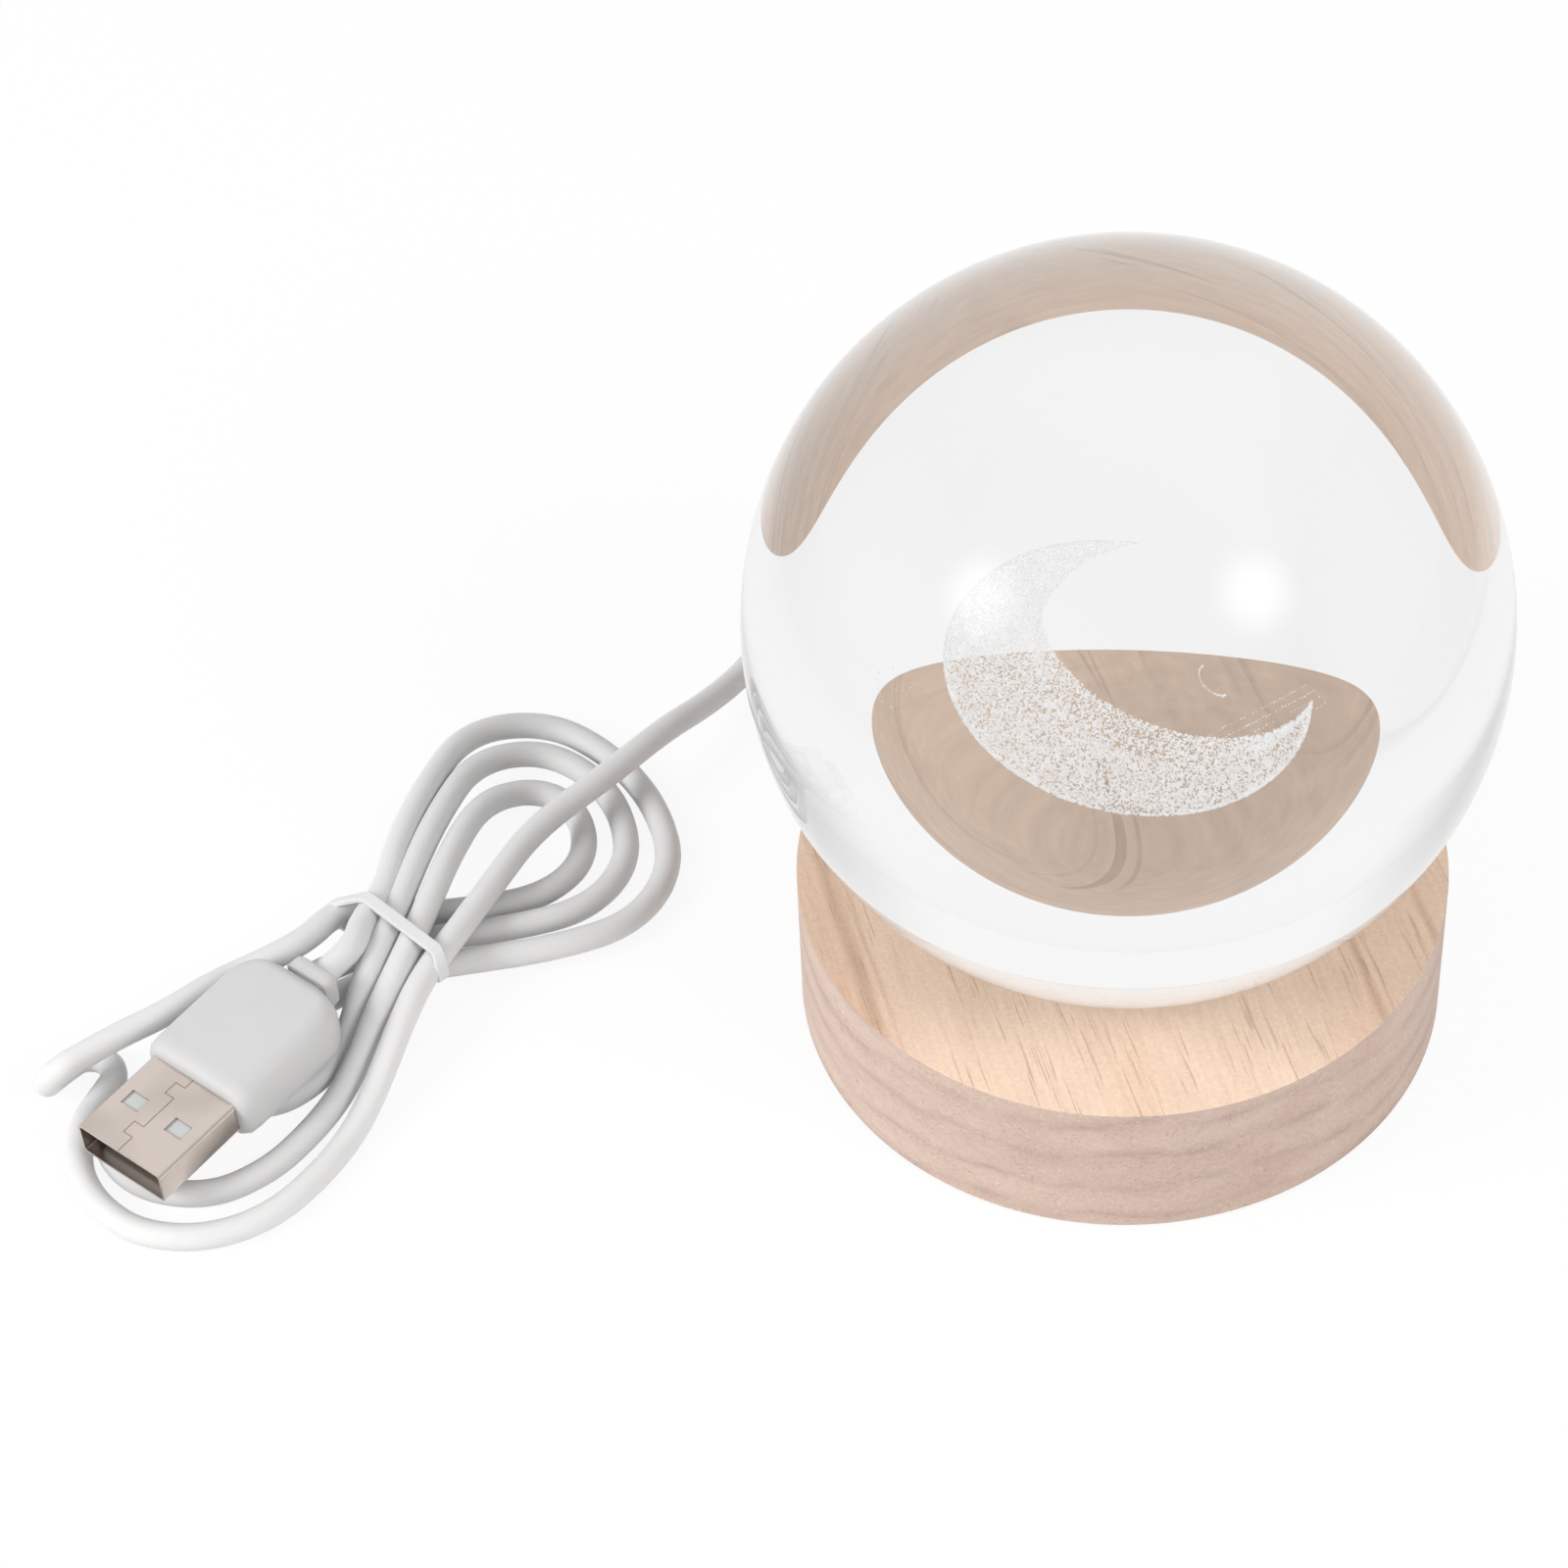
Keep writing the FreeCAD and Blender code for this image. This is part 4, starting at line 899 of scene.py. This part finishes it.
def white_floor():
    bpy.ops.mesh.primitive_plane_add(size=FLOOR_SIZE, location=(0, 0, -FLOOR_DROP))
    floor = bpy.context.object
    floor.name = "floor"
    material = bpy.data.materials.new("floor_white")
    material.use_nodes = True
    tree = material.node_tree
    shader = tree.nodes["Principled BSDF"]
    shader.inputs["Base Color"].default_value = (0.88, 0.88, 0.88, 1.0)
    shader.inputs["Roughness"].default_value = 0.8
    glow = tree.nodes.new("ShaderNodeEmission")
    mix = tree.nodes.new("ShaderNodeMixShader")
    coords = tree.nodes.new("ShaderNodeTexCoord")
    split = tree.nodes.new("ShaderNodeSeparateXYZ")
    tree.links.new(coords.outputs["Object"], split.inputs[0])
    camera = tree.nodes.new("ShaderNodeLightPath").outputs["Is Camera Ray"]
    far = tree.nodes.new("ShaderNodeVectorMath")
    far.operation = "LENGTH"
    tree.links.new(coords.outputs["Object"], far.inputs[0])
    aside = join(tree, "DIVIDE", split.outputs["X"], far.outputs["Value"])
    sides = fade(tree, aside, *SIDE_FADE)
    near = fade(tree, far.outputs["Value"], *NEAR_FADE)
    shown = join(tree, "MAXIMUM", join(tree, "MAXIMUM", near, sides), camera)
    tree.links.new(shown, glow.inputs["Strength"])
    tree.links.new(join(tree, "MULTIPLY", seen_rays(tree), FLOOR_GLOW), mix.inputs["Fac"])
    tree.links.new(shader.outputs[0], mix.inputs[1])
    tree.links.new(glow.outputs[0], mix.inputs[2])
    tree.links.new(mix.outputs[0], tree.nodes["Material Output"].inputs["Surface"])
    floor.data.materials.append(material)


# lamps: places and sizes in metres
KEY_LAMP = (-0.74, -0.30, 0.50)
KEY_WATTS = 5.4
FILL_WATTS = 3.6
LAMP_SIZE = 0.40
LEFT_BOX = (-0.644, -0.398, 0.609)
RIGHT_BOX = (0.531, -0.444, 0.689)      # the fill lamp's place too
BOX_RADIUS = 0.26
BOX_STRENGTH = 3.6
LAMP_TARGET = (0, 0, 0.06)


def aim(thing, place):
    """Put a lamp in its place and turn it towards the object."""
    thing.location = place
    ahead = Vector(LAMP_TARGET) - Vector(place)
    thing.rotation_euler = ahead.to_track_quat("-Z", "Y").to_euler()


def soft_light(name, place, watts):
    """A lamp that lights the object and shows in no reflection."""
    data = bpy.data.lights.new(name, "AREA")
    data.shape = "DISK"
    data.size = LAMP_SIZE
    data.energy = watts
    light = bpy.data.objects.new(name, data)
    aim(light, place)
    light.visible_glossy = False
    light.visible_transmission = False
    bpy.context.scene.collection.objects.link(light)


def soft_box(name, place):
    """A round softbox that fades towards its rim and shows in reflections only."""
    bpy.ops.mesh.primitive_circle_add(vertices=48, radius=BOX_RADIUS, fill_type="TRIFAN")
    disc = bpy.context.object
    disc.name = name
    aim(disc, place)
    material = bpy.data.materials.new(name)
    material.use_nodes = True
    tree = material.node_tree
    coords = tree.nodes.new("ShaderNodeTexCoord")
    length = tree.nodes.new("ShaderNodeVectorMath")
    length.operation = "LENGTH"
    shine = tree.nodes.new("ShaderNodeMapRange")
    shine.interpolation_type = "SMOOTHSTEP"
    shine.inputs["From Min"].default_value = BOX_RADIUS
    shine.inputs["From Max"].default_value = 0.0
    shine.inputs["To Max"].default_value = BOX_STRENGTH
    glow = tree.nodes.new("ShaderNodeEmission")
    clear = tree.nodes.new("ShaderNodeBsdfTransparent")
    add = tree.nodes.new("ShaderNodeAddShader")
    tree.links.new(coords.outputs["Object"], length.inputs[0])
    tree.links.new(length.outputs["Value"], shine.inputs["Value"])
    tree.links.new(shine.outputs["Result"], glow.inputs["Strength"])
    tree.links.new(glow.outputs[0], add.inputs[0])
    tree.links.new(clear.outputs[0], add.inputs[1])
    tree.links.new(add.outputs[0], tree.nodes["Material Output"].inputs["Surface"])
    disc.data.materials.append(material)
    disc.visible_camera = False
    disc.visible_diffuse = False
    disc.visible_transmission = False
    disc.visible_shadow = False


def studio():
    white_world()
    white_floor()
    soft_light("key", KEY_LAMP, KEY_WATTS)
    soft_light("fill", RIGHT_BOX, FILL_WATTS)
    soft_box("left_softbox", LEFT_BOX)
    soft_box("right_softbox", RIGHT_BOX)


# ---------------------------------------------------------------------------------------------
# Put the scene together
# ---------------------------------------------------------------------------------------------
add_camera()
studio()
white = soft_white()
finish_node("light_diffuser", moulded("frosted_plastic", (0.9, 0.9, 0.88), 0.7))
finish_node("led_board", moulded("circuit_board", (0.88, 0.88, 0.86), 0.35))
finish_node("led_chips", moulded("lamp_chips", (0.9, 0.78, 0.36), 0.3))
finish_node("chip_resistors", moulded("resistor_body", (0.04, 0.04, 0.045), 0.4))
steel = metal("steel", (0.62, 0.61, 0.58))
finish_node("board_screws", steel)
finish_node("cover_screws", steel)
finish_node("bottom_cover", moulded("black_plastic", (0.03, 0.03, 0.032), 0.5))
finish_node("base_pad", moulded("foam_pad", (0.05, 0.05, 0.055), 0.85, 1.5, 0.08))
finish_node("cord_lead_in", white)
finish_node("glue_anchor", moulded("glue", (0.85, 0.82, 0.70), 0.25))
finish_node("solder_joints", metal("solder", (0.72, 0.72, 0.72), 0.22))
finish_node("lead_wire_red", moulded("red_wire", (0.6, 0.02, 0.02), 0.4))
finish_node("lead_wire_black", moulded("black_wire", (0.02, 0.02, 0.02), 0.4))
finish_node("plug_shell", metal("plug_metal", (0.70, 0.615, 0.56), 0.2))
# the insulator's colour is darkened to grey for the shade inside the metal shell: painted shade
finish_node("plug_insulator", moulded("plug_tongue", (0.52, 0.53, 0.53), 0.4))
finish_node("plug_contacts", metal("gold_contact", (0.83, 0.66, 0.34), 0.2))

glass_ball(clear_glass())
engraved_crescent(fracture_white())
wooden_base(wood())
grip = soft_white("plug_white", (0.57, 0.57, 0.568))
plug_overmould(grip)
plug_relief(grip)
cable_tie(soft_white("tie_white", (0.71, 0.71, 0.708)))
power_cord(white)

# The photograph shows no cord or plug through the ball.
for name in ("power_cord", "tie_strap", "plug_relief_block", "plug_grip"):
    bpy.data.objects[name].visible_transmission = False
for node in ("plug_shell", "plug_insulator", "plug_contacts"):
    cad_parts[node].visible_transmission = False

bpy.context.scene.view_settings.view_transform = "Standard"
